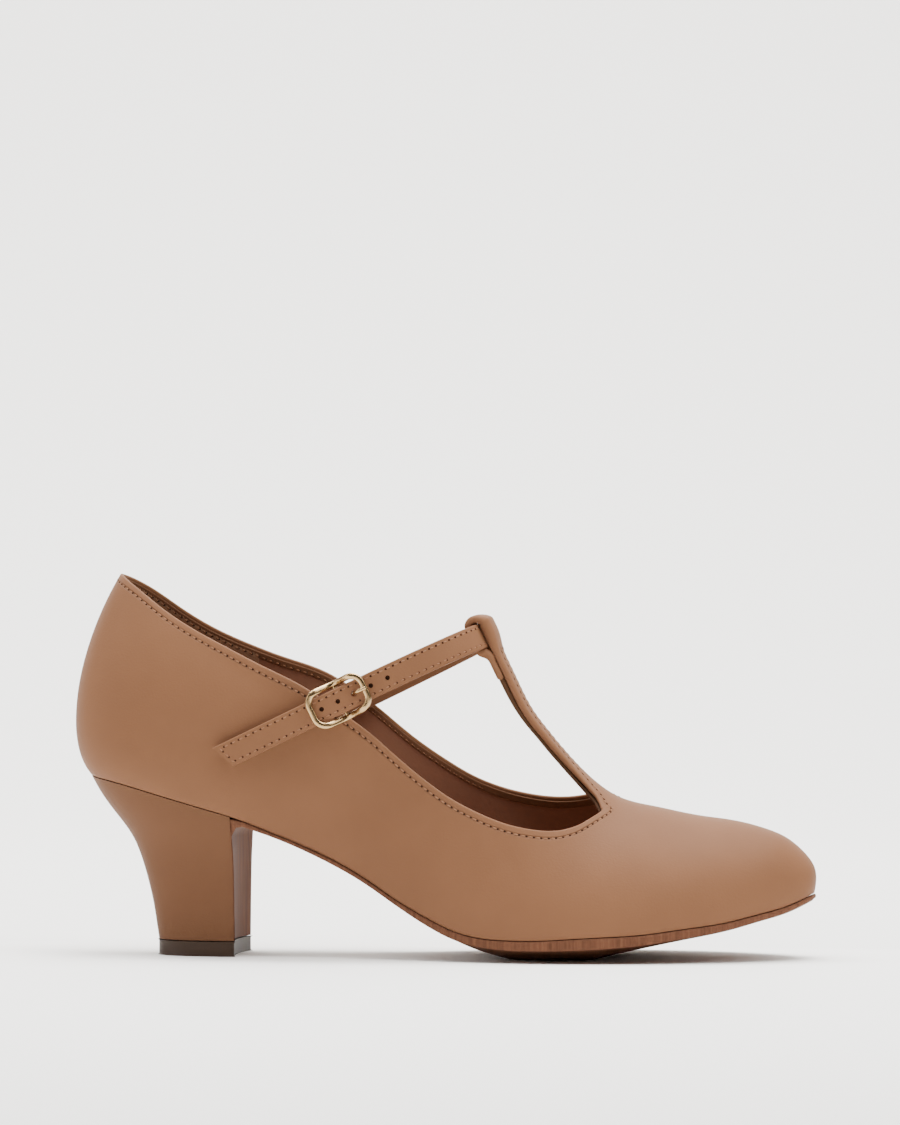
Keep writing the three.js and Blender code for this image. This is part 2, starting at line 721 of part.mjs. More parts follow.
// The sole's sheet: from the toe through the shank, then down the heel's front.
function soleGeometry() {
  const bendAt = BREAST_AT + FLAP_BEND;
  const bendStation = crossing((s) => LENGTH * ribAlong(s) - bendAt, 0.1, 0.5);
  const stations = [
    ...spread(1, 0.9, 5),
    ...spread(0.9, bendStation, 22).slice(1),
  ];
  const tread = (x, w) => {
    const share = x / LENGTH;
    const edge = HEEL_RISE * treadEdge(share);
    const centre = HEEL_RISE * Math.max(0, treadCentre(share));
    return centre + (edge - centre) * smooth((Math.abs(w) - FLAT_SHARE) / (1 - FLAT_SHARE));
  };
  const bed = (x, w) => seamHeight(x) - GAP - bedDip(x) * (1 - w * w);
  const top = stations.map((s) => outlineRow(s, -SOLE_MARGIN, bed));
  const low = stations.map((s) => outlineRow(s, -SOLE_MARGIN, tread));
  const bendTop = seamHeight(BREAST_AT) - GAP;
  const bendLow = HEEL_RISE * treadEdge(bendAt / LENGTH);
  const foot = LIFT_THICKNESS + GAP;
  const flapRow = (lead, height, thickness) => {
    const ring = heelRing(clamp((height - foot) / (bendTop - foot), 0, 1), thickness - FLAP_THICKNESS);
    return ACROSS.map((w) => {
      const edge = w < 0 ? ring.back[0] : ring.back.at(-1);
      return new THREE.Vector3(breastAt(w) + lead - thickness, edge.y * Math.abs(w), height);
    });
  };
  top.push(flapRow(FLAP_LEAD, bendTop - BEND_DROP, FLAP_THICKNESS));
  low.push(flapRow(FLAP_CORNER, bendLow - BEND_DROP, 0));
  for (const height of spread(bendLow - FLAP_DROP, foot, 8)) {
    top.push(flapRow(0, height, FLAP_THICKNESS));
    low.push(flapRow(0, height, 0));
  }
  return plateGeometry(top, low, true);
}

// Half width of the last where it passes x at height z.
function lastHalf(x, z, side) {
  const spot = (s) => lastPoint(s, side, crossing((v) => lastPoint(s, side, v).z - z, 0.01, 0.99));
  const station = crossing((s) => spot(s).x - x, 0.1, throatStation);
  return Math.abs(spot(station).y);
}

// The strap's line at its buckle and its ends. Outside, it stands off the quarter
// for the buckle and at its tip. Inside, it is sewn along the quarter's wall.
const strapHeight = (x) => STRAP_FRONT_HEIGHT + (x - STRAP_FRONT_AT) * Math.tan(STRAP_SLOPE);
const strapOutside = (x, reach, gap) => (
  lastHalf(x, strapHeight(x) - reach / 2, -1) + gap + STRAP_THICKNESS / 2
);
const strapInside = (x) => (
  lastHalf(x, strapHeight(x) + STRAP_WIDTH / 2, 1) - WALL - GAP - STRAP_THICKNESS / 2
);
const strapSides = {
  "-1": {
    roundness: 2,
    half: strapOutside(BUCKLE_AT, BUCKLE_HEIGHT, BUCKLE_STANDOFF),
    end: strapOutside(STRAP_TIP_AT, STRAP_WIDTH, STRAP_TIP_GAP),
    endAt: STRAP_TIP_AT,
  },
  "1": {
    roundness: STRAP_INNER_ROUNDNESS,
    half: strapInside(BUCKLE_AT),
    end: strapInside(STRAP_END_AT),
    endAt: STRAP_END_AT,
  },
};

// A point of the strap's line. Run 0 is at the loop and 1 where its oval reaches
// the buckle's place. Past that it follows the quarter. Side says which half.
function strapSpot(run, side) {
  const { roundness, half, end, endAt } = strapSides[side];
  const reach = STRAP_FRONT_AT - BUCKLE_AT;
  const turn = Math.min(run, 1) * Math.PI / 2;
  const past = Math.max(0, run - 1) * reach;
  const x = BUCKLE_AT + reach * Math.cos(turn) - past;
  const away = (end - half) * (past / (BUCKLE_AT - endAt)) ** 2;
  const y = side * (half * Math.sin(turn) ** (2 / roundness) + away);
  return new THREE.Vector3(x, y, strapHeight(x));
}

// The strap's run where it passes x.
function runTo(x) {
  const reach = STRAP_FRONT_AT - BUCKLE_AT;
  const ahead = (x - BUCKLE_AT) / reach;
  return ahead < 0 ? 1 - ahead : 2 / Math.PI * Math.acos(ahead);
}

// The strap's line from its free tip round to its sewn end, as spots with their
// own directions: ahead along the strap, out of the foot, and up its width.
function strapSpots() {
  const steps = 26;
  const outer = spread(runTo(STRAP_TIP_AT), 0, steps).map((run) => strapSpot(run, -1));
  const inner = spread(0, runTo(STRAP_END_AT), steps).map((run) => strapSpot(run, 1));
  const line = [...outer, ...inner.slice(1)];
  return line.map((at, i) => {
    const before = line[Math.max(0, i - 1)];
    const after = line[Math.min(line.length - 1, i + 1)];
    const ahead = after.clone().sub(before).normalize();
    return { at, ahead, out: ahead.clone().cross(strapUp).normalize() };
  });
}

// The buckle's own rigid frame, on the strap where it lies straight.
const buckleOrigin = strapSpot(1, -1);
const buckleAhead = strapAlong.clone();
const buckleOut = new THREE.Vector3(0, -1, 0);
const buckleDown = buckleAhead.clone().cross(buckleOut);
const buckleFrame = new THREE.Matrix4().makeBasis(buckleAhead, buckleOut, buckleDown)
  .setPosition(buckleOrigin);

// Sweeps a flat section along spots that give its centre and its two directions.
function sweepGeometry(spots, section, closed) {
  const skin = new Skin();
  const rings = spots.map(({ at, wide, thick }) => section.map(([a, b]) => (
    skin.point(at.clone().addScaledVector(wide, a).addScaledVector(thick, b))
  )));
  const loops = rings.map((ring) => [...ring, ring[0]]);
  if (closed) {
    loops.push(loops[0]);
  }
  skin.grid(loops, true);
  if (!closed) {
    const cap = (ring, flip) => {
      const middle = ring.length / 2;
      const rows = spread(0, middle, middle).map((i) => [ring[i], ring[(ring.length - i) % ring.length]]);
      skin.grid(rows, flip);
    };
    cap(rings[0], true);
    cap(rings.at(-1), false);
  }
  return skin.geometry();
}

const roundSection = (radiusA, radiusB, sides) => spread(0, 2 * Math.PI, sides).slice(0, -1)
  .map((turn) => [radiusA * Math.cos(turn), radiusB * Math.sin(turn)]);

function cutCylinder(radius, length, frame) {
  return solidOf(new THREE.CylinderGeometry(radius, radius, length, 12).applyMatrix4(frame));
}

function strapGeometry() {
  const spots = strapSpots();
  const half = STRAP_WIDTH / 2;
  const deep = STRAP_THICKNESS / 2;
  const skin = new Skin();
  const rings = spots.map(({ at, ahead, out }, i) => {
    const slant = i === 0 ? STRAP_TIP_SLANT / 2 : 0;
    return [[half, deep], [half, -deep], [-half, -deep], [-half, deep]].map(([up, thick]) => (
      skin.point(at.clone().addScaledVector(strapUp, up).addScaledVector(out, thick)
        .addScaledVector(ahead, -slant * Math.sign(up)))
    ));
  });
  skin.grid(rings.map((ring) => [...ring, ring[0]]), false);
  skin.quad(...rings[0]);
  skin.quad(...rings.at(-1).slice().reverse());
  let strap = solidOf(skin.geometry());
  for (let i = 0; i < HOLE_COUNT; i += 1) {
    const along = PRONG_HOLE_AT + (i - HOLE_FIRST) * HOLE_PITCH;
    const at = strapSpot(runTo(BUCKLE_AT + along * Math.cos(STRAP_SLOPE)), -1);
    const bore = i === HOLE_FIRST ? PRONG_HOLE_BORE : HOLE_BORE;
    const frame = buckleFrame.clone().setPosition(at);
    strap = strap.subtract(cutCylinder(bore / 2, 4 * STRAP_THICKNESS, frame));
  }
  return geometryOf(strap);
}

// Heights over the strap's line at the buckle: its pin, its end bars, its prong.
const strapFace = STRAP_THICKNESS / 2;
const tabRing = PIN_RADIUS + PIN_GAP + TAB_THICKNESS;
const pinOut = -strapFace - PIN_GAP - tabRing;
const endBarAlong = (BUCKLE_LENGTH - BUCKLE_BAND) / 2;
const endBarOut = strapFace + GAP + BUCKLE_DEPTH / 2;

function buckleFrameGeometry() {
  const long = endBarAlong;
  const wide = (BUCKLE_HEIGHT - BUCKLE_BAND) / 2;
  const corner = BUCKLE_CORNER - BUCKLE_BAND / 2;
  const outline = new THREE.Shape();
  outline.moveTo(long, 0);
  outline.lineTo(long, wide - corner);
  outline.absarc(long - corner, wide - corner, corner, 0, Math.PI / 2, false);
  outline.lineTo(0, wide);
  outline.lineTo(corner - long, wide);
  outline.absarc(corner - long, wide - corner, corner, Math.PI / 2, Math.PI, false);
  outline.lineTo(-long, corner - wide);
  outline.absarc(corner - long, corner - wide, corner, Math.PI, Math.PI * 1.5, false);
  outline.lineTo(0, -wide);
  outline.lineTo(long - corner, -wide);
  outline.absarc(long - corner, corner - wide, corner, Math.PI * 1.5, Math.PI * 2, false);
  const path = outline.getSpacedPoints(40).slice(0, -1);
  const bow = (along) => pinOut + (endBarOut - pinOut) * smooth(Math.abs(along) / BUCKLE_BOW);
  const spots = path.map(({ x, y }, i) => {
    const after = path[(i + 1) % path.length];
    const before = path[(i + path.length - 1) % path.length];
    const ahead = new THREE.Vector2(after.x - before.x, after.y - before.y).normalize();
    return {
      at: new THREE.Vector3(x, bow(x), y),
      wide: new THREE.Vector3(ahead.y, 0, -ahead.x),
      thick: new THREE.Vector3(0, 1, 0),
    };
  });
  const section = roundSection(BUCKLE_BAND / 2, BUCKLE_DEPTH / 2, 8);
  const ring = solidOf(sweepGeometry(spots, section, true));
  const pin = new THREE.CylinderGeometry(PIN_RADIUS, PIN_RADIUS, 2 * wide, 10);
  pin.rotateX(Math.PI / 2).translate(0, pinOut, 0);
  return geometryOf(ring.add(solidOf(pin))).applyMatrix4(buckleFrame);
}

function prongGeometry() {
  const eyeMiddle = PIN_RADIUS + PIN_GAP + PRONG_EYE / 2;
  const eyePath = spread(0, 2 * Math.PI, 12).slice(0, -1).map((turn) => ({
    at: new THREE.Vector3(eyeMiddle * Math.cos(turn), pinOut + eyeMiddle * Math.sin(turn), 0),
    wide: new THREE.Vector3(Math.cos(turn), Math.sin(turn), 0),
    thick: new THREE.Vector3(0, 0, -1),
  }));
  const eye = solidOf(sweepGeometry(eyePath, roundSection(PRONG_EYE / 2, PRONG_RADIUS, 8), true));
  const under = -strapFace - PIN_GAP - PRONG_RADIUS;
  const over = endBarOut + BUCKLE_DEPTH / 2 + GAP + PRONG_RADIUS;
  const rodPath = new THREE.CatmullRomCurve3([
    new THREE.Vector3(eyeMiddle, pinOut, 0),
    new THREE.Vector3(PRONG_HOLE_AT - 1.8, under - 0.5, 0),
    new THREE.Vector3(PRONG_HOLE_AT - 0.05, -strapFace - 0.1, 0),
    new THREE.Vector3(PRONG_HOLE_AT, 0.2, 0),
    new THREE.Vector3(PRONG_HOLE_AT + 0.25, strapFace + 0.4, 0),
    new THREE.Vector3(PRONG_HOLE_AT + 1.9, over - 0.1, 0),
    new THREE.Vector3(endBarAlong + BUCKLE_BAND / 2 - 0.4, over, 0),
  ]);
  const rodSpots = spread(0, 1, 16).map((share) => {
    const ahead = rodPath.getTangent(share);
    return {
      at: rodPath.getPoint(share),
      wide: new THREE.Vector3(-ahead.y, ahead.x, 0).normalize(),
      thick: new THREE.Vector3(0, 0, 1),
    };
  });
  const rod = solidOf(sweepGeometry(rodSpots, roundSection(PRONG_RADIUS, PRONG_RADIUS, 8), false));
  return geometryOf(eye.add(rod)).applyMatrix4(buckleFrame);
}

// The tab folds round the pin and runs back under the strap, slotted for the prong.
function tabGeometry() {
  const face = pinOut + tabRing;
  const shape = new THREE.Shape();
  shape.moveTo(0, face);
  shape.lineTo(-TAB_LENGTH, face);
  shape.lineTo(-TAB_LENGTH, face - TAB_THICKNESS);
  const meet = Math.asin((tabRing - TAB_THICKNESS) / tabRing);
  shape.lineTo(-tabRing * Math.cos(meet), face - TAB_THICKNESS);
  shape.absarc(0, pinOut, tabRing, Math.PI - meet, Math.PI * 2.5, false);
  const hole = new THREE.Path();
  hole.absarc(0, pinOut, PIN_RADIUS + PIN_GAP, 0, Math.PI * 2, true);
  shape.holes.push(hole);
  const geometry = new THREE.ExtrudeGeometry(shape, {
    depth: TAB_WIDTH, bevelEnabled: false, curveSegments: 12,
  });
  geometry.translate(0, 0, -TAB_WIDTH / 2);
  const slotHalf = PRONG_RADIUS + GAP;
  const slot = new THREE.BoxGeometry(4 * tabRing, 4 * tabRing, 2 * slotHalf);
  slot.translate(tabRing - GAP, pinOut, 0);
  const tab = solidOf(geometry).subtract(solidOf(slot));
  return geometryOf(tab).applyMatrix4(buckleFrame);
}

function mesh(name, geometry, color, roughness, metalness = 0) {
  const material = new THREE.MeshStandardMaterial({ color, roughness, metalness });
  const part = new THREE.Mesh(geometry, material);
  part.name = name;
  return part;
}

const LEATHER = 0xa9795f;
const BOARD = 0x8a5b45;
const SOLE_LEATHER = 0x5d3a2b;
const LIFT_RUBBER = 0x2e1f1a;
const GOLD = 0xd9c19a;

const shoe = new THREE.Group();
shoe.add(mesh("upper", upperGeometry(), LEATHER, 0.5));
shoe.add(mesh("insole", insoleGeometry(), BOARD, 0.6));
shoe.add(mesh("outsole", soleGeometry(), SOLE_LEATHER, 0.3));
shoe.add(mesh("heel", heelGeometry(), LEATHER, 0.5));
shoe.add(mesh("top_lift", liftGeometry(), LIFT_RUBBER, 0.6));
shoe.add(mesh("ankle_strap", strapGeometry(), LEATHER, 0.5));
shoe.add(mesh("buckle_frame", buckleFrameGeometry(), GOLD, 0.25, 1));
shoe.add(mesh("buckle_prong", prongGeometry(), GOLD, 0.25, 1));
shoe.add(mesh("buckle_tab", tabGeometry(), LEATHER, 0.5));

// The whole stands on its sole, with the origin under the middle of its box.
const box = new THREE.Box3().setFromObject(shoe);
const middle = box.getCenter(new THREE.Vector3());
shoe.position.set(-middle.x, -middle.y, -box.min.z);
shoe.updateMatrixWorld(true);

export default shoe;
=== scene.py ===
"""Character shoe, right foot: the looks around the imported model.

Shapes are worked out in millimetres in the last's own coordinates: x = 0 at the
back, +x to the toe, +y to the inner side of the foot, z = 0 on the floor. Each
mesh is then put into the model's frame, in metres. Side -1 is the outer side of
the foot and side 1 the inner one.
"""

import math
from bisect import bisect_left
from functools import lru_cache

import bmesh
import bpy
import numpy as np
from bpy.props import FloatProperty, FloatVectorProperty, PointerProperty
from bpy.types import Operator, Panel, PropertyGroup
from mathutils import Matrix, Vector
from mathutils.bvhtree import BVHTree
from mathutils.kdtree import KDTree


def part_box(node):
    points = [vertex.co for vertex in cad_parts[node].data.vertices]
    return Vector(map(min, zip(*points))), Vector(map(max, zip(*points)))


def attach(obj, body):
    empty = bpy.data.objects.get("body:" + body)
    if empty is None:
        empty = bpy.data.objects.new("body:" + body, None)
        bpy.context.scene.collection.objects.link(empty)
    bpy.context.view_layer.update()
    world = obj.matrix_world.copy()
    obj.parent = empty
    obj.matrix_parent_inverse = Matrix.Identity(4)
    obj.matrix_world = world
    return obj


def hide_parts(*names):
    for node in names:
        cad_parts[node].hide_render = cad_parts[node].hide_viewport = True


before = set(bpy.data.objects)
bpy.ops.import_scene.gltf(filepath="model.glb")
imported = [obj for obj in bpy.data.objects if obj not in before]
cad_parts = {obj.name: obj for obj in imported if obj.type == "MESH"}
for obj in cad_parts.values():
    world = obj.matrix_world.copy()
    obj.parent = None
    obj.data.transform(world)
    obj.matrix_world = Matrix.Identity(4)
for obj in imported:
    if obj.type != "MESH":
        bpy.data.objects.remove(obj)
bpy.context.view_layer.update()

bl_info = {
    "name": "Character shoe",
    "version": (1, 0, 0),
    "blender": (4, 5, 0),
    "location": "3D View > Sidebar > Shoe",
    "description": "Builds a T-strap pump around its packed model",
    "category": "Object",
}

# Driving sizes of the last and the sole, in millimetres.
LENGTH = 250
BALL_WIDTH = 76
HEEL_RISE = 60
BACK_HEIGHT = 66
TOE_SWING = 2
BACK_BLEND = 0.08
WALL = 1.8
GAP = 0.3

# Insole and outsole.
INSOLE_THICKNESS = 2
INSOLE_INSET = 0.6
INSOLE_LIFT = 0.2
SOLE_MARGIN = 0.5
SOLE_ROUND = 0.5
TOP_CROWN = 0.45
NARROW_ROW = 20
DIP_START = 0.24
DIP_RUN = 0.12

# Throat and T-bar.
THROAT_AT = 182
THROAT_RADIUS = 3.4
BAR_WIDTH = 12
BAR_FOOT_WIDTH = 27
BAR_FLARE = 20
BAR_FLARE_POWER = 2.4
BAR_ARCH = 1
BAR_TURN = 24

# Ankle strap and the loop it runs through.
STRAP_WIDTH = 8.5
STRAP_THICKNESS = 1.8
STRAP_SLOPE = math.radians(25.7)
STRAP_FRONT_AT = 138.9
STRAP_FRONT_HEIGHT = 106.8
STRAP_INNER_ROUNDNESS = 2.6
STRAP_TIP_AT = 56
STRAP_TIP_SLANT = 3.7
STRAP_TIP_GAP = 1.6
STRAP_TIP_FADE = 6
STRAP_END_AT = 76
HOLE_BORE = 1.6
HOLE_PITCH = 6
HOLE_COUNT = 5
HOLE_FIRST = 2
LOOP_WALL = 2.1
LOOP_SLACK = 0.5
LOOP_TAIL = 15
LOOP_CORNER = 0.4
LOOP_FOLD = 5
TAIL_GAP = 0.15
LOOP_SWELL = 1.5
LOOP_FILL = 0.3
LOOP_PINCH = 1.0

# Buckle and prong.
BUCKLE_AT = 94.8
BUCKLE_LENGTH = 21.4
BUCKLE_HEIGHT = 14
BUCKLE_BAND = 2.1
BUCKLE_DEPTH = 1.4
BUCKLE_CORNER = 5
BUCKLE_BOW = 7.5
BUCKLE_STANDOFF = 3.6
PIN_RADIUS = 0.6
PIN_GAP = 0.25
TAB_THICKNESS = 0.7
PRONG_RADIUS = 0.6
PRONG_EYE = 0.7
PRONG_HOLE_AT = 5.6
PRONG_HOLE_BORE = 2.1

# Heel, top lift and the sole's turned-down end.
LIFT_THICKNESS = 5
LIFT_BACK_AT = 29.3
LIFT_WIDTH = 33.2
BREAST_AT = 57.2
BREAST_HOLLOW = 2
FLAP_THICKNESS = 1.6
FLAP_BEND = 4
LIFT_BACK_ROUND = 0.8
LIFT_SIDE_ROUND = 0.72
FLAP_LEAD = 1.2
FLAP_CORNER = 1.8
FLAP_DROP = 3.2
BEND_DROP = 0.4
FLAT_SHARE = 0.4
FLAP_REACH = 0.95
FLAP_STEP = 0.01
FLAP_EDGE_GAP = 0.05
FLAP_WIDENING = 1.2
COVER_GAP = 0.1

# Linings, edges and seams.
COLLAR_RISE = 2.6
COLLAR_REACH = 34
EDGE_HALF = 0.65
LINING = 0.5
LINING_INSET = 1.5
GRIP_INSET = 2.0
GRIP_THICKNESS = 0.3
GRIP_STATION = 0.225
SEAM_INSET = 2.7
SEAM_GROOVE = 0.75
FAR_OFF = 3.0
THREAD_SIZE = (1.6, 0.5, 0.4)
HOLE_SIZE = (1.0, 0.8, 0.3)
LONG_LINE = 10.0
THREAD_SINK = 0.06
FACING_INSETS = (1.3, 3.3)
FACING_THICKNESS = 0.3
BACKING_THICKNESS = 1.2
# Thickness of the dark discs of painted shade inside the strap's holes.
SHADE_DISC_THICKNESS = 0.5
LOOP_SEAM_DROP = 2.2
LOOP_SEAM_REACH = 0.72
STRAP_EDGE = 0.55
STRAP_SEAM_INSET = 1.4
STRAP_TIP_SKIP = 2
LINING_LAP = 0.02
FACING_LAP = 0.1
GRIP_LAP = 0.05
BACKING_GAP = 0.05

# Edges that stay crisp, in degrees, and the heel's rounded edges in millimetres.
SHARP_EDGE = 50
TAB_SHARP_EDGE = 40
SOLE_SHARP_EDGE = 60
COVER_ROUND = 0.25
LIFT_ROUND = 0.4

# Steps of the fine surfaces. The lines' steps are in millimetres.
MIRRORED_ROWS = 5
PINCH_STEPS = 14
BACK_STEPS = 72
BREAST_STEPS = 16
HEEL_ROWS = 36
SEAM_STEP = 0.5
MARK_STEP = 0.2
RING_STEP = 0.45
CORNER_STEPS = 14
BAR_STEPS = 60
QUARTER_STEPS = 110
VAMP_STEPS = 100
SIDE_STEPS = 48
CREST_STEPS = 16
STRAP_STEPS = 120

# Camera: the photo's angle, with the shoe in the same place of the picture. The
# floor's painted tone, lighter in front and shaded behind, changes at its edge, in metres.
CAMERA_TURN = 8
CAMERA_DISTANCE = 2000
CAMERA_AIM_X = 127.3
CAMERA_HEIGHT = 136
CAMERA_PITCH = 0.142
CAMERA_LENS = 192
FLOOR_EDGE = 0.05
FLOOR_BEHIND = 0.93

# The stage: soft lights as (name, place, aim, size, power), the light of the
# surroundings, the paper's curve and the dark card, in metres and watts.
SHOE_MIDDLE = (0, 0, 0.05)
LIGHTS = (
    ("key", (-0.5, -1.0, 1.5), SHOE_MIDDLE, (1.0, 0.8), 9),
    ("top", (0.3, 0.1, 1.7), SHOE_MIDDLE, (1.6, 0.9), 73),
    ("left", (-1.7, -0.5, 0.7), SHOE_MIDDLE, (0.6, 1.2), 9),
    ("right", (1.1, -0.5, 1.3), SHOE_MIDDLE, (0.5, 1.0), 10),
    ("wall", (-0.8, 0.3, 1.9), (-0.7, 1.4, 0.5), (2.0, 0.6), 76),
)
WORLD_LIGHT = 0.27
PAPER_REACH = 3.0
PAPER_BEND_AT = 0.9
PAPER_BEND = 0.5
CARD_AT = -2.9
CARD_SIZE = (2.6, -0.2, 2.4)


def table(columns, *rows):
    """Rows of a table as named columns."""
    return {name: [row[i] for row in rows] for i, name in enumerate(columns)}


# Rows from the back of the heel round to the toe tip. Each holds the seam with
# the sole, the ridge that its rib would reach, and the rib's two handles. Lengths
# are shares of LENGTH, widths of BALL_WIDTH and heights of BACK_HEIGHT.
RIBS = table(
    ("along", "outer", "inner", "ridge_along", "ridge_side", "ridge_rise",
     "low_out", "low_up", "high_back", "high_side", "high_down"),
    (0.025, 0.000, 0.000, 0.120, 0.000, 1.302, 0.168, 0.198, 0.111, 0.000, 0.429),
    (0.040, 0.164, 0.164, 0.124, 0.000, 1.303, 0.158, 0.205, 0.088, 0.184, 0.424),
    (0.082, 0.274, 0.271, 0.144, 0.000, 1.318, 0.138, 0.212, 0.048, 0.289, 0.379),
    (0.144, 0.321, 0.313, 0.192, 0.000, 1.348, 0.118, 0.220, 0.028, 0.329, 0.303),
    (0.212, 0.326, 0.303, 0.256, 0.000, 1.379, 0.112, 0.235, 0.016, 0.355, 0.212),
    (0.280, 0.305, 0.274, 0.340, 0.000, 1.439, 0.118, 0.265, 0.008, 0.368, 0.182),
    (0.348, 0.284, 0.245, 0.428, 0.000, 1.485, 0.132, 0.318, 0.000, 0.368, 0.152),
    (0.416, 0.295, 0.245, 0.508, 0.000, 1.485, 0.132, 0.379, 0.000, 0.329, 0.061),
    (0.480, 0.350, 0.300, 0.566, 0.000, 1.379, 0.099, 0.455, 0.000, 0.276, 0.000),
    (0.540, 0.424, 0.382, 0.606, 0.011, 1.190, 0.053, 0.515, 0.000, 0.276, 0.000),
    (0.604, 0.482, 0.455, 0.662, 0.026, 0.924, 0.033, 0.455, 0.000, 0.289, 0.000),
    (0.672, 0.500, 0.493, 0.726, 0.043, 0.700, 0.024, 0.364, 0.000, 0.263, 0.000),
    (0.740, 0.484, 0.500, 0.784, 0.050, 0.621, 0.024, 0.303, 0.000, 0.275, 0.000),
    (0.808, 0.439, 0.466, 0.850, 0.053, 0.550, 0.024, 0.258, 0.000, 0.263, 0.000),
    (0.874, 0.369, 0.399, 0.908, 0.050, 0.480, 0.026, 0.227, 0.000, 0.230, 0.000),
    (0.930, 0.272, 0.297, 0.957, 0.042, 0.365, 0.029, 0.189, 0.000, 0.180, 0.000),
    (0.970, 0.168, 0.182, 0.985, 0.034, 0.232, 0.025, 0.130, 0.000, 0.112, 0.000),
    (0.990, 0.086, 0.091, 0.997, 0.029, 0.111, 0.013, 0.064, 0.000, 0.055, 0.000),
    (0.995, 0.000, 0.000, 0.995, 0.026, 0.000, 0.000, 0.000, 0.000, 0.000, 0.000),
)

# Height of the seam between upper and sole, as a share of HEEL_RISE.
SEAM = table(
    ("along", "height"),
    (0.022, 1.000), (0.062, 0.973), (0.120, 0.912), (0.188, 0.832), (0.236, 0.772),
    (0.282, 0.698), (0.350, 0.578), (0.410, 0.442), (0.444, 0.350), (0.495, 0.235),
    (0.528, 0.175), (0.564, 0.138), (0.602, 0.127), (0.648, 0.128), (0.695, 0.140),
    (0.740, 0.150), (0.782, 0.162), (0.836, 0.192), (0.892, 0.227), (0.927, 0.263),
    (0.963, 0.303), (0.996, 0.365),
)

# Height of the topline over the seam on each side, as a share of BACK_HEIGHT.
TOPLINE = table(
    ("along", "outer", "inner"),
    (0.062, 1.027, 1.027), (0.098, 0.989, 0.992), (0.144, 0.924, 0.921), (0.200, 0.864, 0.864),
    (0.260, 0.824, 0.848), (0.324, 0.804, 0.862), (0.376, 0.768, 0.832), (0.424, 0.743, 0.796),
    (0.468, 0.701, 0.772), (0.512, 0.660, 0.748), (0.556, 0.624, 0.724), (0.596, 0.580, 0.698),
    (0.640, 0.546, 0.681), (0.672, 0.540, 0.684), (0.704, 0.574, 0.704), (0.736, 0.637, 0.736),
)

# Lower edge of the sole and the tread's centre line, as shares of HEEL_RISE.
TREAD = table(
    ("along", "edge", "centre"),
    (0.236, 0.738, 0.734), (0.282, 0.673, 0.668), (0.350, 0.548, 0.541), (0.410, 0.410, 0.400),
    (0.444, 0.317, 0.304), (0.495, 0.190, 0.170), (0.534, 0.118, 0.084), (0.574, 0.082, 0.026),
    (0.612, 0.070, -0.008), (0.649, 0.070, -0.013), (0.695, 0.075, -0.007), (0.726, 0.082, 0.020),
    (0.782, 0.103, 0.072), (0.836, 0.140, 0.119), (0.892, 0.183, 0.170), (0.927, 0.223, 0.213),
    (0.963, 0.268, 0.260), (0.997, 0.338, 0.331),
)

# How far the heel has drawn in, from its seat (rise 1) to the lift (rise 0).
HEEL_FLARE = table(
    ("rise", "drawn_in"),
    (0.00, 1.000), (0.10, 0.966), (0.25, 0.912), (0.40, 0.832), (0.55, 0.726),
    (0.70, 0.546), (0.80, 0.342), (0.90, 0.148), (1.00, 0.000),
)

# Soft troughs in the leather: middle, half length and tilt of each, its half width
# and depth in millimetres, on the outer (-1) or inner (1) side.
CREASES = table(
    ("along", "rise", "half_length", "tilt", "half_width", "depth", "side"),
    (38, 74, 22, -14, 5, 0.9, -1),
    (62, 95, 16, -30, 4, 0.4, -1),
    (104, 50, 22, -38, 5, 0.6, -1),
    (152, 32, 14, -60, 4, 0.4, -1),
    (44, 74, 18, -12, 5, 0.4, 1),
    (112, 50, 20, -36, 5, 0.35, 1),
    (156, 34, 12, -62, 4, 0.25, 1),
)


def natural_curve(xs, ys):
    """Natural cubic through the knots, as a function."""
    last = len(xs) - 1
    bend = [0.0] * (last + 1)
    carry = [0.0] * (last + 1)
    for i in range(1, last):
        share = (xs[i] - xs[i - 1]) / (xs[i + 1] - xs[i - 1])
        pivot = share * bend[i - 1] + 2
        ahead = (ys[i + 1] - ys[i]) / (xs[i + 1] - xs[i])
        behind = (ys[i] - ys[i - 1]) / (xs[i] - xs[i - 1])
        bend[i] = (share - 1) / pivot
        carry[i] = (6 * (ahead - behind) / (xs[i + 1] - xs[i - 1]) - share * carry[i - 1]) / pivot
    for i in range(last - 1, 0, -1):
        bend[i] = bend[i] * bend[i + 1] + carry[i]

    def at(x):
        i = min(max(bisect_left(xs, x) - 1, 0), last - 1)
        width = xs[i + 1] - xs[i]
        a = (xs[i + 1] - x) / width
        b = (x - xs[i]) / width
        cubic = ((a ** 3 - a) * bend[i] + (b ** 3 - b) * bend[i + 1]) * width * width / 6
        return a * ys[i] + b * ys[i + 1] + cubic

    return at


def rib_column(name, sign):
    """A rib column over stations 0 to 1, mirrored past both ends."""
    steps = len(RIBS["along"]) - 1
    xs = []
    ys = []
    for i in range(-MIRRORED_ROWS, steps + MIRRORED_ROWS + 1):
        inside = -i if i < 0 else 2 * steps - i if i > steps else i
        xs.append(i / steps)
        ys.append(RIBS[name][inside] * (1 if inside == i else sign))
    return natural_curve(xs, ys)


def station_curve(name):
    steps = len(RIBS["along"]) - 1
    return natural_curve([i / steps for i in range(steps + 1)], RIBS[name])


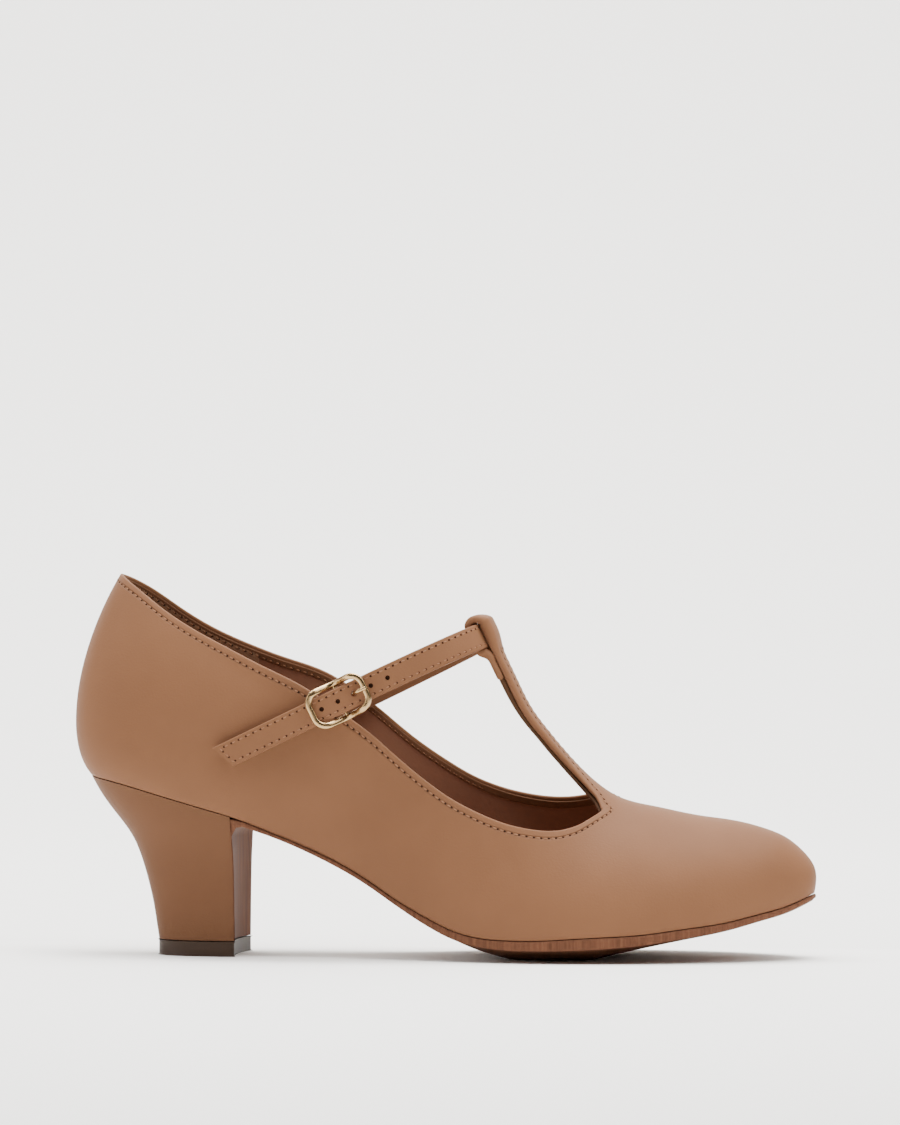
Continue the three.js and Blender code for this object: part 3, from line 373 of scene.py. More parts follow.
rib_along = rib_column("along", 1)
rib_half = {-1: rib_column("outer", -1), 1: rib_column("inner", -1)}
ridge = {name: station_curve("ridge_" + name) for name in ("along", "side", "rise")}
low_handle = {name: station_curve("low_" + name) for name in ("out", "up")}
high_handle = {name: station_curve("high_" + name) for name in ("back", "side", "down")}
seam_share = natural_curve(SEAM["along"], SEAM["height"])
top_share = {
    -1: natural_curve(TOPLINE["along"], TOPLINE["outer"]),
    1: natural_curve(TOPLINE["along"], TOPLINE["inner"]),
}
tread_edge = natural_curve(TREAD["along"], TREAD["edge"])
tread_centre = natural_curve(TREAD["along"], TREAD["centre"])
flare = natural_curve(HEEL_FLARE["rise"], HEEL_FLARE["drawn_in"])


def clamp(value, low, high):
    return min(high, max(low, value))


def smooth(value):
    t = clamp(value, 0, 1)
    return t * t * (3 - 2 * t)


def smooth_all(values):
    t = np.clip(values, 0, 1)
    return t * t * (3 - 2 * t)


def crossing(test, low, high):
    """Where a rising function between low and high passes zero."""
    for _ in range(40):
        middle = (low + high) / 2
        if test(middle) > 0:
            high = middle
        else:
            low = middle
    return (low + high) / 2


def unit(vector):
    return vector / np.linalg.norm(vector)


def spread(start, end, steps):
    return [start + (end - start) * i / steps for i in range(steps + 1)]


def seam_height(x):
    return HEEL_RISE * seam_share(x / LENGTH)


@lru_cache(maxsize=None)
def seam_point(s, side):
    """A point of the seam at station s, from the back (0) round to the toe tip (1)."""
    x = LENGTH * rib_along(s)
    swing = TOE_SWING * smooth(2 * s - 1)
    return np.array([x, swing + side * BALL_WIDTH * rib_half[side](s), seam_height(x)])


def seam_outward(s, side):
    """Level direction out of the seam's outline."""
    step = 0.002
    ahead = seam_point(s + step, side)
    behind = seam_point(s - step, side)
    return unit(np.array([ahead[1] - behind[1], behind[0] - ahead[0], 0])) * -side


@lru_cache(maxsize=None)
def ridge_point(s):
    seam = seam_height(LENGTH * rib_along(s))
    return np.array([
        LENGTH * ridge["along"](s),
        BALL_WIDTH * ridge["side"](s),
        seam + BACK_HEIGHT * ridge["rise"](s),
    ])


@lru_cache(maxsize=None)
def rib(s, side):
    """The rib's four points, from the seam to the ridge. The toe tip is one point."""
    seam = seam_point(s, side)
    if s >= 1:
        return seam, seam, seam, seam
    top = ridge_point(s)
    low = seam + BALL_WIDTH * low_handle["out"](s) * seam_outward(s, side)
    low[2] += BACK_HEIGHT * low_handle["up"](s)
    back = LENGTH * high_handle["back"](s)
    across = side * BALL_WIDTH * high_handle["side"](s)
    high = top + np.array([-back, across, -BACK_HEIGHT * high_handle["down"](s)])
    return seam, low, high, top


def bezier(knots, shares):
    """Points of a cubic curve with four knots, at shares of it."""
    v = np.asarray(shares, float)[:, None]
    w = 1 - v
    start, low, high, end = knots
    return w ** 3 * start + 3 * w * w * v * low + 3 * w * v * v * high + v ** 3 * end


def last_row(s, side, shares):
    """Points of the last's surface along one rib, at shares of it."""
    return bezier(rib(s, side), shares)


def last_point(s, side, v):
    return last_row(s, side, [v])[0]


def topline_height(x, side):
    """Height of the topline. The turned edge stands a little higher at the back."""
    rolled = COLLAR_RISE * smooth((COLLAR_REACH - x) / COLLAR_REACH)
    return seam_height(x) + BACK_HEIGHT * top_share[side](x / LENGTH) + rolled


@lru_cache(maxsize=None)
def topline_share(s, side, inset):
    """Share of the rib where the topline cuts it, a little lower by inset."""
    def cut(way):
        def over(v):
            point = last_point(s, way, v)
            return point[2] + inset - topline_height(point[0], way)
        return crossing(over, 0.1, 0.99)
    own = smooth(s / BACK_BLEND)
    return cut(side) * (1 + own) / 2 + cut(-side) * (1 - own) / 2


def bar_half(x):
    """Half width of the T-bar, which flares into the vamp at its foot."""
    reach = clamp((THROAT_AT - x) / BAR_FLARE, 0, 1)
    return (BAR_WIDTH + (BAR_FOOT_WIDTH - BAR_WIDTH) * (1 - reach) ** BAR_FLARE_POWER) / 2


@lru_cache(maxsize=None)
def bar_share(s, side, inset):
    """Share of the rib where the T-bar's edge runs."""
    top = ridge_point(s)
    half = bar_half(top[0]) - inset
    return crossing(lambda v: half - abs(last_point(s, side, v)[1] - top[1]), 0.2, 0.9999)


def throat_station(inset):
    """Station of the throat, where topline and bar meet in a round corner."""
    return crossing(lambda s: ridge_point(s)[0] - THROAT_AT - inset, 0.4, 0.8)


STATION_STEP = 0.004
STATION_PER_MM = STATION_STEP / (
    ridge_point(throat_station(0))[0] - ridge_point(throat_station(0) - STATION_STEP)[0]
)


def opening_shares(s, side, inset):
    """Shares of the rib between which it is open, closing in a half round."""
    low = topline_share(s, side, inset)
    high = bar_share(s, side, inset)
    depth = (throat_station(inset) - s) / STATION_PER_MM
    closing = math.sqrt(1 - (1 - clamp(depth / (THROAT_RADIUS + inset), 0, 1)) ** 2)
    middle = (low + high) / 2
    half = (high - low) / 2 * closing
    return middle - half, middle + half


# The strap lies in one plane that falls to the back. These are its directions.
STRAP_ALONG = np.array([math.cos(STRAP_SLOPE), 0, math.sin(STRAP_SLOPE)])
STRAP_UP = np.array([-math.sin(STRAP_SLOPE), 0, math.cos(STRAP_SLOPE)])
STRAP_FRONT = np.array([STRAP_FRONT_AT, 0, STRAP_FRONT_HEIGHT])
LOOP_INSIDE = STRAP_THICKNESS / 2 + LOOP_SLACK
LOOP_OUTSIDE = LOOP_INSIDE + LOOP_WALL
LOOP_SEAM_UP = -STRAP_WIDTH / 2 - LOOP_SEAM_DROP


def height_along_bar(at):
    return (at - STRAP_FRONT) @ STRAP_UP


BAR_STATION = crossing(
    lambda s: -LOOP_TAIL - height_along_bar(ridge_point(s)), 0.36, throat_station(0)
)


def plane_rows(out, up, shares):
    """Points across the bar in the strap's plane: out to the toe, up along its width."""
    shares = np.asarray(shares, float)
    at = STRAP_FRONT + (out - BAR_ARCH * shares ** 2)[:, None] * STRAP_ALONG
    at = at + np.broadcast_to(up, shares.shape)[:, None] * STRAP_UP
    at[:, 1] = shares * BAR_WIDTH / 2
    return at


def bar_row(s, side, shares):
    """The bar's surface leaves the last and turns into the strap's plane."""
    at = last_row(s, side, shares)
    middle = ridge_point(s)
    up = height_along_bar(middle)
    turned = smooth(1 + (up + LOOP_TAIL) / BAR_TURN)
    across = (at[:, 1] - middle[1]) / (BAR_WIDTH / 2)
    along = height_along_bar(at) * (1 - turned) + up * turned
    flat = plane_rows(LOOP_OUTSIDE, along, across)
    return at + (flat - at) * turned


def bar_depth(s):
    """Depth of the bar, from the wall's at the throat to the loop's."""
    foot = smooth((throat_station(0) - s) / STATION_PER_MM / BAR_FLARE)
    return WALL + (LOOP_WALL - WALL) * foot


def loop_path():
    """Outer face of the folded end, as (out, up, depth): over the strap and down behind."""
    top = STRAP_WIDTH / 2 - LOOP_CORNER
    bottom = -STRAP_WIDTH / 2
    tail_out = LOOP_OUTSIDE - 2 * LOOP_WALL - TAIL_GAP
    full = LOOP_WALL + LOOP_FILL
    path = []
    for up in spread(-LOOP_TAIL, top, 20)[1:]:
        swell = LOOP_SWELL * smooth((up - bottom + LOOP_FOLD) / (2 * LOOP_FOLD))
        fill = LOOP_FILL * smooth((up - bottom + LOOP_FOLD) / LOOP_FOLD)
        path.append((LOOP_OUTSIDE + swell, up, LOOP_WALL + swell + fill))
    for turn in spread(0, math.pi, 20)[1:]:
        swell = LOOP_SWELL * (1 + math.cos(turn)) / 2
        radius = LOOP_OUTSIDE + swell * math.cos(turn) ** 2
        place = (radius * math.cos(turn), top + LOOP_OUTSIDE * math.sin(turn))
        path.append((*place, full + swell * math.cos(turn) ** 2))
    path += [(-LOOP_OUTSIDE, up, full) for up in spread(top, bottom, 8)[1:-1]]
    knots = np.array([
        (-LOOP_OUTSIDE, bottom), (-LOOP_OUTSIDE, bottom - LOOP_FOLD / 2),
        (tail_out, bottom - LOOP_FOLD / 2), (tail_out, bottom - LOOP_FOLD),
    ])
    shares = spread(0, 1, PINCH_STEPS)
    for v, at in zip(shares, bezier(knots, shares)):
        pinch = LOOP_FILL * (1 - v) + LOOP_PINCH * math.sin(math.pi * v)
        path.append((*at, LOOP_WALL + pinch))
    path += [(tail_out, up, LOOP_WALL) for up in spread(bottom - LOOP_FOLD, -LOOP_TAIL, 8)[1:]]
    return path


class Sheet:
    """Collects a surface as grids, then gives it a thickness and round edges."""

    def __init__(self):
        self.points = []
        self.depths = []
        self.level = []
        self.faces = []
        self.slots = {}

    def row(self, points, depth=0.0, level=False):
        """Numbers of a row's points. The first one may lie on the level bottom edge."""
        numbers = []
        for i, at in enumerate(points):
            key = (round(at[0], 3), round(at[1], 3), round(at[2], 3))
            if key not in self.slots:
                self.slots[key] = len(self.points)
                self.points.append(np.array(at, float))
                self.depths.append(depth)
                self.level.append(level and i == 0)
            numbers.append(self.slots[key])
        return numbers

    def quad(self, a, b, c, d):
        corners = []
        for corner in (a, b, c, d):
            if corner not in corners:
                corners.append(corner)
        if len(corners) > 2:
            self.faces.append(tuple(corners))

    def grid(self, rows, flip=False):
        for this, after in zip(rows, rows[1:]):
            for j in range(len(this) - 1):
                corners = [this[j], after[j], after[j + 1], this[j + 1]]
                self.quad(*(reversed(corners) if flip else corners))

    def normals(self):
        points = np.array(self.points)
        total = np.zeros_like(points)
        for face in self.faces:
            a, b, c = (points[face[k]] for k in (0, 1, 2))
            across = np.cross(b - a, c - a)
            if len(face) == 4:
                d = points[face[3]]
                across = across + np.cross(c - a, d - a)
            for corner in face:
                total[corner] += across
        total[np.array(self.level), 2] = 0
        return total / np.linalg.norm(total, axis=1)[:, None]

    def shell(self, near, far, round_steps=6):
        """Points and faces of a closed wall between two depths under the surface."""
        points = np.array(self.points)
        normals = self.normals()
        near = np.broadcast_to(near, len(points)).astype(float)
        far = np.broadcast_to(far, len(points)).astype(float)
        count = len(points)
        out = [*(points - normals * near[:, None]), *(points - normals * far[:, None])]
        faces = list(self.faces)
        faces += [tuple(corner + count for corner in reversed(face)) for face in self.faces]
        ahead = {}
        behind = {}
        directed = {
            (face[k], face[(k + 1) % len(face)])
            for face in self.faces for k in range(len(face))
        }
        for start, end in directed:
            if (end, start) not in directed:
                ahead[start] = end
                behind[end] = start
        rims = {}
        for corner in ahead:
            tangent = unit(points[ahead[corner]] - points[behind[corner]])
            away = unit(np.cross(tangent, normals[corner]))
            half = (far[corner] - near[corner]) / 2
            middle = points[corner] - normals[corner] * (near[corner] + half)
            bulge = 0 if self.level[corner] else half
            chain = [corner]
            for turn in spread(0, math.pi, round_steps)[1:-1]:
                chain.append(len(out))
                offset = normals[corner] * half * math.cos(turn) + away * bulge * math.sin(turn)
                out.append(middle + offset)
            chain.append(corner + count)
            rims[corner] = chain
        for start, end in ahead.items():
            for k in range(round_steps):
                faces.append((rims[end][k], rims[start][k], rims[start][k + 1], rims[end][k + 1]))
        return np.array(out), faces


# The top lift shows where the last's own coordinates lie in the model's frame.
LIFT_LOW, LIFT_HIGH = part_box("top_lift")
PLACE = np.array([
    LIFT_LOW[0] - LIFT_BACK_AT / 1000,
    (LIFT_LOW[1] + LIFT_HIGH[1]) / 2,
    0,
])


def to_frame(points):
    return np.asarray(points, float).reshape(-1, 3) / 1000 + PLACE


def new_object(name, data):
    """An object at the origin, in the scene."""
    item = bpy.data.objects.new(name, data)
    bpy.context.scene.collection.objects.link(item)
    return item


def add_mesh(name, points, faces):
    """A mesh object at the origin with its place in its mesh."""
    mesh = bpy.data.meshes.new(name)
    mesh.from_pydata([tuple(p) for p in to_frame(points)], [], [tuple(f) for f in faces])
    mesh.validate()
    mesh.shade_smooth()
    return new_object(name, mesh)


def ring_stack(name, rings, flip, closed=False):
    """A closed skin over rings of points. An end gets a face, unless its ring folds flat."""
    sheet = Sheet()
    loops = []
    for ring in rings:
        row = sheet.row(ring)
        loops.append(row + row[:1])
    if closed:
        loops.append(loops[0])
    sheet.grid(loops, flip)
    for loop, turned in ((loops[0], flip), (loops[-1], not flip)):
        cap = loop[:-1]
        if not closed and len(set(cap)) == len(cap):
            sheet.faces.append(tuple(reversed(cap)) if turned else tuple(cap))
    return add_mesh(name, sheet.points, sheet.faces)


def from_bmesh(name, shape):
    """An object of the edited mesh, which is let go."""
    mesh = bpy.data.meshes.new(name)
    shape.to_mesh(mesh)
    shape.free()
    return new_object(name, mesh)


def bake_modifiers(piece):
    """Turns the piece with its modifiers into a plain mesh."""
    graph = bpy.context.evaluated_depsgraph_get()
    mesh = bpy.data.meshes.new_from_object(piece.evaluated_get(graph))
    old = piece.data
    piece.modifiers.clear()
    piece.data = mesh
    bpy.data.meshes.remove(old)
    mesh.name = piece.name


def finish_piece(piece, slot, nodes, *materials):
    """Materials, body and the model's nodes that the piece stands for. The slot is not used."""
    for material in materials:
        if material.name not in piece.data.materials:
            piece.data.materials.append(material)
    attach(piece, "root")
    if nodes:
        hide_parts(*nodes)


def last_half(x, z, side):
    """Half width of the last where it passes x at height z."""
    def spot(s):
        return last_point(s, side, crossing(lambda v: last_point(s, side, v)[2] - z, 0.01, 0.99))
    station = crossing(lambda s: spot(s)[0] - x, 0.1, throat_station(0))
    return abs(spot(station)[1])


def strap_height(x):
    return STRAP_FRONT_HEIGHT + (x - STRAP_FRONT_AT) * math.tan(STRAP_SLOPE)


def strap_outside(x, reach, gap):
    return last_half(x, strap_height(x) - reach / 2, -1) + gap + STRAP_THICKNESS / 2


def strap_inside(x):
    return last_half(x, strap_height(x) + STRAP_WIDTH / 2, 1) - WALL - GAP - STRAP_THICKNESS / 2


STRAP_SIDES = {
    -1: (2, strap_outside(BUCKLE_AT, BUCKLE_HEIGHT, BUCKLE_STANDOFF),
         strap_outside(STRAP_TIP_AT, STRAP_WIDTH, STRAP_TIP_GAP), STRAP_TIP_AT),
    1: (STRAP_INNER_ROUNDNESS, strap_inside(BUCKLE_AT), strap_inside(STRAP_END_AT), STRAP_END_AT),
}


def strap_spot(run, side):
    """The strap's line: run 0 at the loop, 1 at the buckle's place, then the ends."""
    roundness, half, end, end_at = STRAP_SIDES[side]
    reach = STRAP_FRONT_AT - BUCKLE_AT
    turn = min(run, 1) * math.pi / 2
    past = max(0, run - 1) * reach
    x = BUCKLE_AT + reach * math.cos(turn) - past
    away = (end - half) * (past / (BUCKLE_AT - end_at)) ** 2
    y = side * (half * math.sin(turn) ** (2 / roundness) + away)
    return np.array([x, y, strap_height(x)])


def run_to(x):
    """The strap's run where it passes x."""
    ahead = (x - BUCKLE_AT) / (STRAP_FRONT_AT - BUCKLE_AT)
    return 1 - ahead if ahead < 0 else 2 / math.pi * math.acos(ahead)


def strap_line(steps):
    """Spots from the free tip to the sewn end: centre, ahead and out of the foot."""
    outer = [strap_spot(run, -1) for run in spread(run_to(STRAP_TIP_AT), 0, steps)]
    inner = [strap_spot(run, 1) for run in spread(0, run_to(STRAP_END_AT), steps)]
    line = outer + inner[1:]
    spots = []
    for i, at in enumerate(line):
        ahead = unit(line[min(i + 1, len(line) - 1)] - line[max(i - 1, 0)])
        spots.append((at, ahead, unit(np.cross(ahead, STRAP_UP))))
    return spots


def strap_place(spots, i, up, thick):
    """A place on the strap, up its width and thick out of it. Its tip is slanted."""
    at, ahead, out = spots[i]
    tip = clamp(1 - i * STRAP_TIP_FADE / len(spots), 0, 1)
    lean = -STRAP_TIP_SLANT / 2 * up / (STRAP_WIDTH / 2) * tip
    return at + STRAP_UP * up + out * thick + ahead * lean


BUCKLE_ORIGIN = strap_spot(1, -1)
BUCKLE_OUT = np.array([0, -1, 0])
BUCKLE_DOWN = np.cross(STRAP_ALONG, BUCKLE_OUT)
STRAP_FACE = STRAP_THICKNESS / 2
TAB_RING = PIN_RADIUS + PIN_GAP + TAB_THICKNESS
PIN_OUT = -STRAP_FACE - PIN_GAP - TAB_RING
END_BAR_ALONG = (BUCKLE_LENGTH - BUCKLE_BAND) / 2
END_BAR_OUT = STRAP_FACE + GAP + BUCKLE_DEPTH / 2


def on_buckle(along, out, down):
    return BUCKLE_ORIGIN + STRAP_ALONG * along + BUCKLE_OUT * out + BUCKLE_DOWN * down


def mark_sharp(piece, degrees):
    """Keeps edges sharper than the angle crisp under smooth shading."""
    shape = bmesh.new()
    shape.from_mesh(piece.data)
    limit = math.radians(degrees)
    for edge in shape.edges:
        edge.smooth = not (len(edge.link_faces) == 2 and edge.calc_face_angle() > limit)
    shape.to_mesh(piece.data)
    shape.free()


def bevelled(piece, width, degrees):
    """Rounds the piece's sharp edges."""
    bevel = piece.modifiers.new("Bevel", "BEVEL")
    bevel.width = width / 1000
    bevel.segments = 3
    bevel.limit_method = "ANGLE"
    bevel.angle_limit = math.radians(degrees)
    bake_modifiers(piece)
    piece.data.shade_smooth()


def upper_stations(inset):
    """Stations of the bar, the quarters and the vamp, crowded in the throat's corner."""
    throat = throat_station(inset)
    reach = STATION_PER_MM * (THROAT_RADIUS + inset)
    turns = spread(0, math.pi / 2, CORNER_STEPS)
    corner = [throat - reach * (1 - math.cos(turn)) for turn in turns]
    bar = corner + spread(corner[-1], BAR_STATION, BAR_STEPS)[1:]
    quarter = bar + spread(BAR_STATION, 0, QUARTER_STEPS)[1:]
    return bar, quarter, spread(throat, 1, VAMP_STEPS)


def upper_sheet(inset, with_loop):
    """The upper's outer surface with its free edges drawn in by inset."""
    sheet = Sheet()
    bar_stations, quarter_stations, vamp_stations = upper_stations(inset)
    for side in (-1, 1):
        throat = opening_shares(throat_station(inset), side, inset)[0]
        crest = spread(throat, 1, CREST_STEPS)
        up = np.array([1.5 * t - 0.5 * t * t for t in spread(0, 1, SIDE_STEPS)])
        wall = [
            sheet.row(last_row(s, side, up * opening_shares(s, side, inset)[0]), WALL, True)
            for s in quarter_stations
        ]
        vamp_side = [sheet.row(last_row(s, side, up * throat), WALL, True) for s in vamp_stations]
        vamp_top = [sheet.row(last_row(s, side, crest), WALL) for s in vamp_stations]
        bar = []
        for s in bar_stations:
            shares = spread(opening_shares(s, side, inset)[1], 1, CREST_STEPS)
            bar.append(sheet.row(bar_row(s, side, shares), bar_depth(s)))
        if with_loop:
            end = BAR_STATION
            shares = spread(opening_shares(end, side, inset)[1], 1, CREST_STEPS)
            across = bar_row(end, side, shares)[:, 1] / (BAR_WIDTH / 2)
            for out, rise, depth in loop_path():
                bar.append(sheet.row(plane_rows(out, rise, across), depth))
        sheet.grid(wall, side < 0)
        sheet.grid(bar, side < 0)
        sheet.grid(vamp_side, side > 0)
        sheet.grid(vamp_top, side > 0)
    return sheet


def crease(sheet):
    """Presses the soft troughs of leather creased by wear into the sheet's outer side."""
    normals = sheet.normals()
    points = np.array(sheet.points)
    for along, rise, half_length, tilt, half_width, depth, side in zip(*CREASES.values()):
        turn = math.radians(tilt)
        ahead = (points[:, 0] - along) * math.cos(turn) + (points[:, 2] - rise) * math.sin(turn)
        over = (points[:, 2] - rise) * math.cos(turn) - (points[:, 0] - along) * math.sin(turn)
        press = depth * np.exp(-(ahead / half_length) ** 2 - (over / half_width) ** 2)
        press[points[:, 1] * side < 0] = 0  # the other side of the foot
        points -= normals * press[:, None]
    sheet.points = list(points)


def edge_line(inset, side):
    """Line beside an opening: from the back to the throat and up to the strap."""
    bar, quarter, _ = upper_stations(inset)
    line = [last_point(s, side, opening_shares(s, side, inset)[0]) for s in reversed(quarter)]
    line += [bar_row(s, side, [opening_shares(s, side, inset)[1]])[0] for s in bar[1:]]
    share = line[-1][1] / (BAR_WIDTH / 2)
    ups = spread(-LOOP_TAIL, LOOP_SEAM_UP, 8)[1:]
    return line + [plane_rows(LOOP_OUTSIDE, up, [share])[0] for up in ups]


def even_line(points, step):
    """The same line with its points an even step apart."""
    points = np.array(points)
    lengths = np.linalg.norm(np.diff(points, axis=0), axis=1)
    run = np.concatenate([[0], np.cumsum(lengths)])
    at = np.linspace(0, run[-1], max(2, round(run[-1] / step)) + 1)
    return np.stack([np.interp(at, run, points[:, k]) for k in range(3)], axis=1)


def skin_of(piece):
    return BVHTree.FromObject(piece, bpy.context.evaluated_depsgraph_get())


def lie_on(line, piece, depth):
    """The line moved onto the piece's skin and a depth under it, with the directions there."""
    skin = skin_of(piece)
    spots = []
    facing = []
    for at in to_frame(line):
        found, normal, _, _ = skin.find_nearest(Vector(at))
        spots.append((np.array(found) - PLACE - np.array(normal) * depth / 1000) * 1000)
        facing.append(tuple(normal))
    return spots, facing


def mark_seams(piece, lines):
    """Stores for the material how far each place lies from the nearest seam, in mm."""
    points = np.empty(len(piece.data.vertices) * 3)
    piece.data.vertices.foreach_get("co", points)
    away = np.full(len(piece.data.vertices), FAR_OFF)
    for line in lines:
        spots = to_frame(even_line(line, MARK_STEP))
        tree = KDTree(len(spots))
        for i, spot in enumerate(spots):
            tree.insert(spot, i)
        tree.balance()
        for i, at in enumerate(points.reshape(-1, 3)):
            away[i] = min(away[i], tree.find(at)[2] * 1000)
    attribute = piece.data.attributes.new("seam", "FLOAT", "POINT")
    attribute.data.foreach_set("value", away)


def stitch_tree():
    """Geometry nodes that lay one thread after another along a line, with a dark mark of painted
    shade in each needle hole between them.
    """
    name = "Stitch row"
    if name in bpy.data.node_groups:
        return bpy.data.node_groups[name]
    tree = new_group(
        name, "GeometryNodeTree",
        (("Line", "Geometry"), ("Pitch", "Float"), ("Size", "Vector"), ("Hole", "Vector"),
         ("Thread", "Material"), ("Shade", "Material")),
        (("Stitches", "Geometry"),),
    )
    given = add_node(tree, "NodeGroupInput").outputs
    curve = add_node(tree, "GeometryNodeMeshToCurve", {"Mesh": given["Line"]}).outputs["Curve"]
    half = add_node(tree, "ShaderNodeMath", {0: given["Pitch"], 1: 0.5}, operation="MULTIPLY")
    shorter = add_node(tree, "GeometryNodeTrimCurve", {"Curve": curve}, mode="LENGTH")
    tree.links.new(half.outputs[0], shorter.inputs[4])
    shorter.inputs[5].default_value = LONG_LINE
    ball = add_node(tree, "GeometryNodeMeshUVSphere", {"Segments": 10, "Rings": 6, "Radius": 0.5})
    facing = add_node(
        tree, "GeometryNodeInputNamedAttribute", {"Name": "facing"}, data_type="FLOAT_VECTOR",
    )
    rows = add_node(tree, "GeometryNodeJoinGeometry")
    # The second row is painted shade: dark marks for the needle holes.
    for line, size, material in (
        (curve, given["Size"], given["Thread"]),
        (shorter.outputs["Curve"], given["Hole"], given["Shade"]),
    ):
        spots = add_node(
            tree, "GeometryNodeCurveToPoints", {"Curve": line, "Length": given["Pitch"]},
            mode="LENGTH",
        ).outputs
        along = add_node(
            tree, "FunctionNodeAlignRotationToVector", {"Vector": spots["Tangent"]}, axis="X",
        )
        turned = add_node(
            tree, "FunctionNodeAlignRotationToVector",
            {"Rotation": along.outputs["Rotation"], "Vector": facing.outputs["Attribute"]},
            axis="Z", pivot_axis="X",
        )
        thread = add_node(
            tree, "GeometryNodeTransform", {"Geometry": ball.outputs["Mesh"], "Scale": size},
        )
        placed = add_node(tree, "GeometryNodeInstanceOnPoints", {
            "Points": spots["Points"],
            "Instance": thread.outputs["Geometry"],
            "Rotation": turned.outputs["Rotation"],
        })
        real = add_node(
            tree, "GeometryNodeRealizeInstances", {"Geometry": placed.outputs["Instances"]},
        )
        painted = add_node(tree, "GeometryNodeSetMaterial", {
            "Geometry": real.outputs["Geometry"], "Material": material,
        })
        tree.links.new(painted.outputs["Geometry"], rows.inputs["Geometry"])
    soft = add_node(tree, "GeometryNodeSetShadeSmooth", {"Geometry": rows.outputs["Geometry"]})
    add_node(tree, "NodeGroupOutput", {"Stitches": soft.outputs["Geometry"]})
    return tree


def sew(name, lines, pitch):
    """One piece of stitches along lines of (spots, facing)."""
    points = []
    facing = []
    edges = []
    for spots, normals in lines:
        start = len(points)
        points += list(spots)
        facing += list(normals)
        edges += [(i, i + 1) for i in range(start, len(points) - 1)]
    mesh = bpy.data.meshes.new(name)
    mesh.from_pydata([tuple(p) for p in to_frame(points)], edges, [])
    attribute = mesh.attributes.new("facing", "FLOAT_VECTOR", "POINT")
    attribute.data.foreach_set("vector", np.array(facing).ravel())
    piece = new_object(name, mesh)
    tree = stitch_tree()
    modifier = piece.modifiers.new("Stitches", "NODES")
    modifier.node_group = tree
    values = {
        "Pitch": pitch / 1000,
        "Size": [length / 1000 for length in THREAD_SIZE],
        "Hole": [length / 1000 for length in HOLE_SIZE],
        "Thread": thread_material(),
        "Shade": shade_material(),
    }
    for item in tree.interface.items_tree:
        if item.in_out == "INPUT" and item.name in values:
            modifier[item.identifier] = values[item.name]
    bake_modifiers(piece)
    finish_piece(piece, "upper_leather", ())


def new_group(name, kind, inputs, outputs):
    """An empty node group with its sockets as (name, kind of value)."""
    tree = bpy.data.node_groups.new(name, kind)
    for way, sockets in (("INPUT", inputs), ("OUTPUT", outputs)):
        for label, value in sockets:
            tree.interface.new_socket(label, in_out=way, socket_type="NodeSocket" + value)
    return tree


def add_node(tree, kind, values=None, **settings):
    """A node with its settings. Each value is a constant or a socket to link from."""
    node = tree.nodes.new(kind)
    for name, value in settings.items():
        setattr(node, name, value)
    for name, value in (values or {}).items():
        feed(tree, node.inputs[name], value)
    return node


def feed(tree, socket, value):
    """Links the socket from another one, or sets it to a constant."""
    if isinstance(value, bpy.types.NodeSocket):
        tree.links.new(value, socket)
    else:
        socket.default_value = value


def grain_group():
    """Fine grain as Height and a slow change of Tone, both 0 to 1."""
    name = "Leather grain"
    if name in bpy.data.node_groups:
        return bpy.data.node_groups[name]
    tree = new_group(
        name, "ShaderNodeTree", (("Scale", "Float"),), (("Height", "Float"), ("Tone", "Float")),
    )
    given = add_node(tree, "NodeGroupInput").outputs
    place = add_node(tree, "ShaderNodeTexCoord").outputs["Object"]
    cells = add_node(tree, "ShaderNodeTexVoronoi", {
        "Vector": place, "Scale": given["Scale"],
    }, feature="SMOOTH_F1")
    fine = add_node(tree, "ShaderNodeTexNoise", {
        "Vector": place, "Scale": given["Scale"], "Detail": 4.0,
    })
    height = add_node(tree, "ShaderNodeMath", {
        0: cells.outputs["Distance"], 1: fine.outputs["Fac"],
    }, operation="ADD")
    half = add_node(tree, "ShaderNodeMath", {0: height.outputs[0], 1: 0.5}, operation="MULTIPLY")
    slow = add_node(tree, "ShaderNodeTexNoise", {"Vector": place, "Scale": 24.0, "Detail": 3.0})
    add_node(tree, "NodeGroupOutput", {"Height": half.outputs[0], "Tone": slow.outputs["Fac"]})
    return tree


def sewn_group():
    """Groove along the marked seams, as a Height from 0 to 1."""
    name = "Sewn line"
    if name in bpy.data.node_groups:
        return bpy.data.node_groups[name]
    tree = new_group(name, "ShaderNodeTree", (("Width", "Float"),), (("Height", "Float"),))
    given = add_node(tree, "NodeGroupInput").outputs
    mark = add_node(tree, "ShaderNodeAttribute", attribute_name="seam")
    height = add_node(tree, "ShaderNodeMapRange", {
        "Value": mark.outputs["Fac"], "From Min": 0.0, "From Max": given["Width"],
    }, interpolation_type="SMOOTHSTEP")
    add_node(tree, "NodeGroupOutput", {"Height": height.outputs[0]})
    return tree


def group_node(tree, group, **values):
    node = add_node(tree, "ShaderNodeGroup", node_tree=group)
    for name, value in values.items():
        node.inputs[name].default_value = value
    return node


def start_material(name):
    """A new material, its node tree and its principled shader."""
    material = bpy.data.materials.new(name)
    material.use_nodes = True
    shader = next(node for node in material.node_tree.nodes if node.type == "BSDF_PRINCIPLED")
    return material, material.node_tree, shader


def blend_colours(tree, share, start, end):
    """Mixes two colours by a share socket; each colour is a constant or a socket."""
    node = add_node(tree, "ShaderNodeMix", data_type="RGBA")
    tree.links.new(share, node.inputs[0])
    feed(tree, node.inputs[6], start)
    feed(tree, node.inputs[7], end)
    return node.outputs[2]


def darker(colour, share):
    """A share of the colour's light, as an opaque colour."""
    return (*(channel * share for channel in colour[:3]), 1.0)


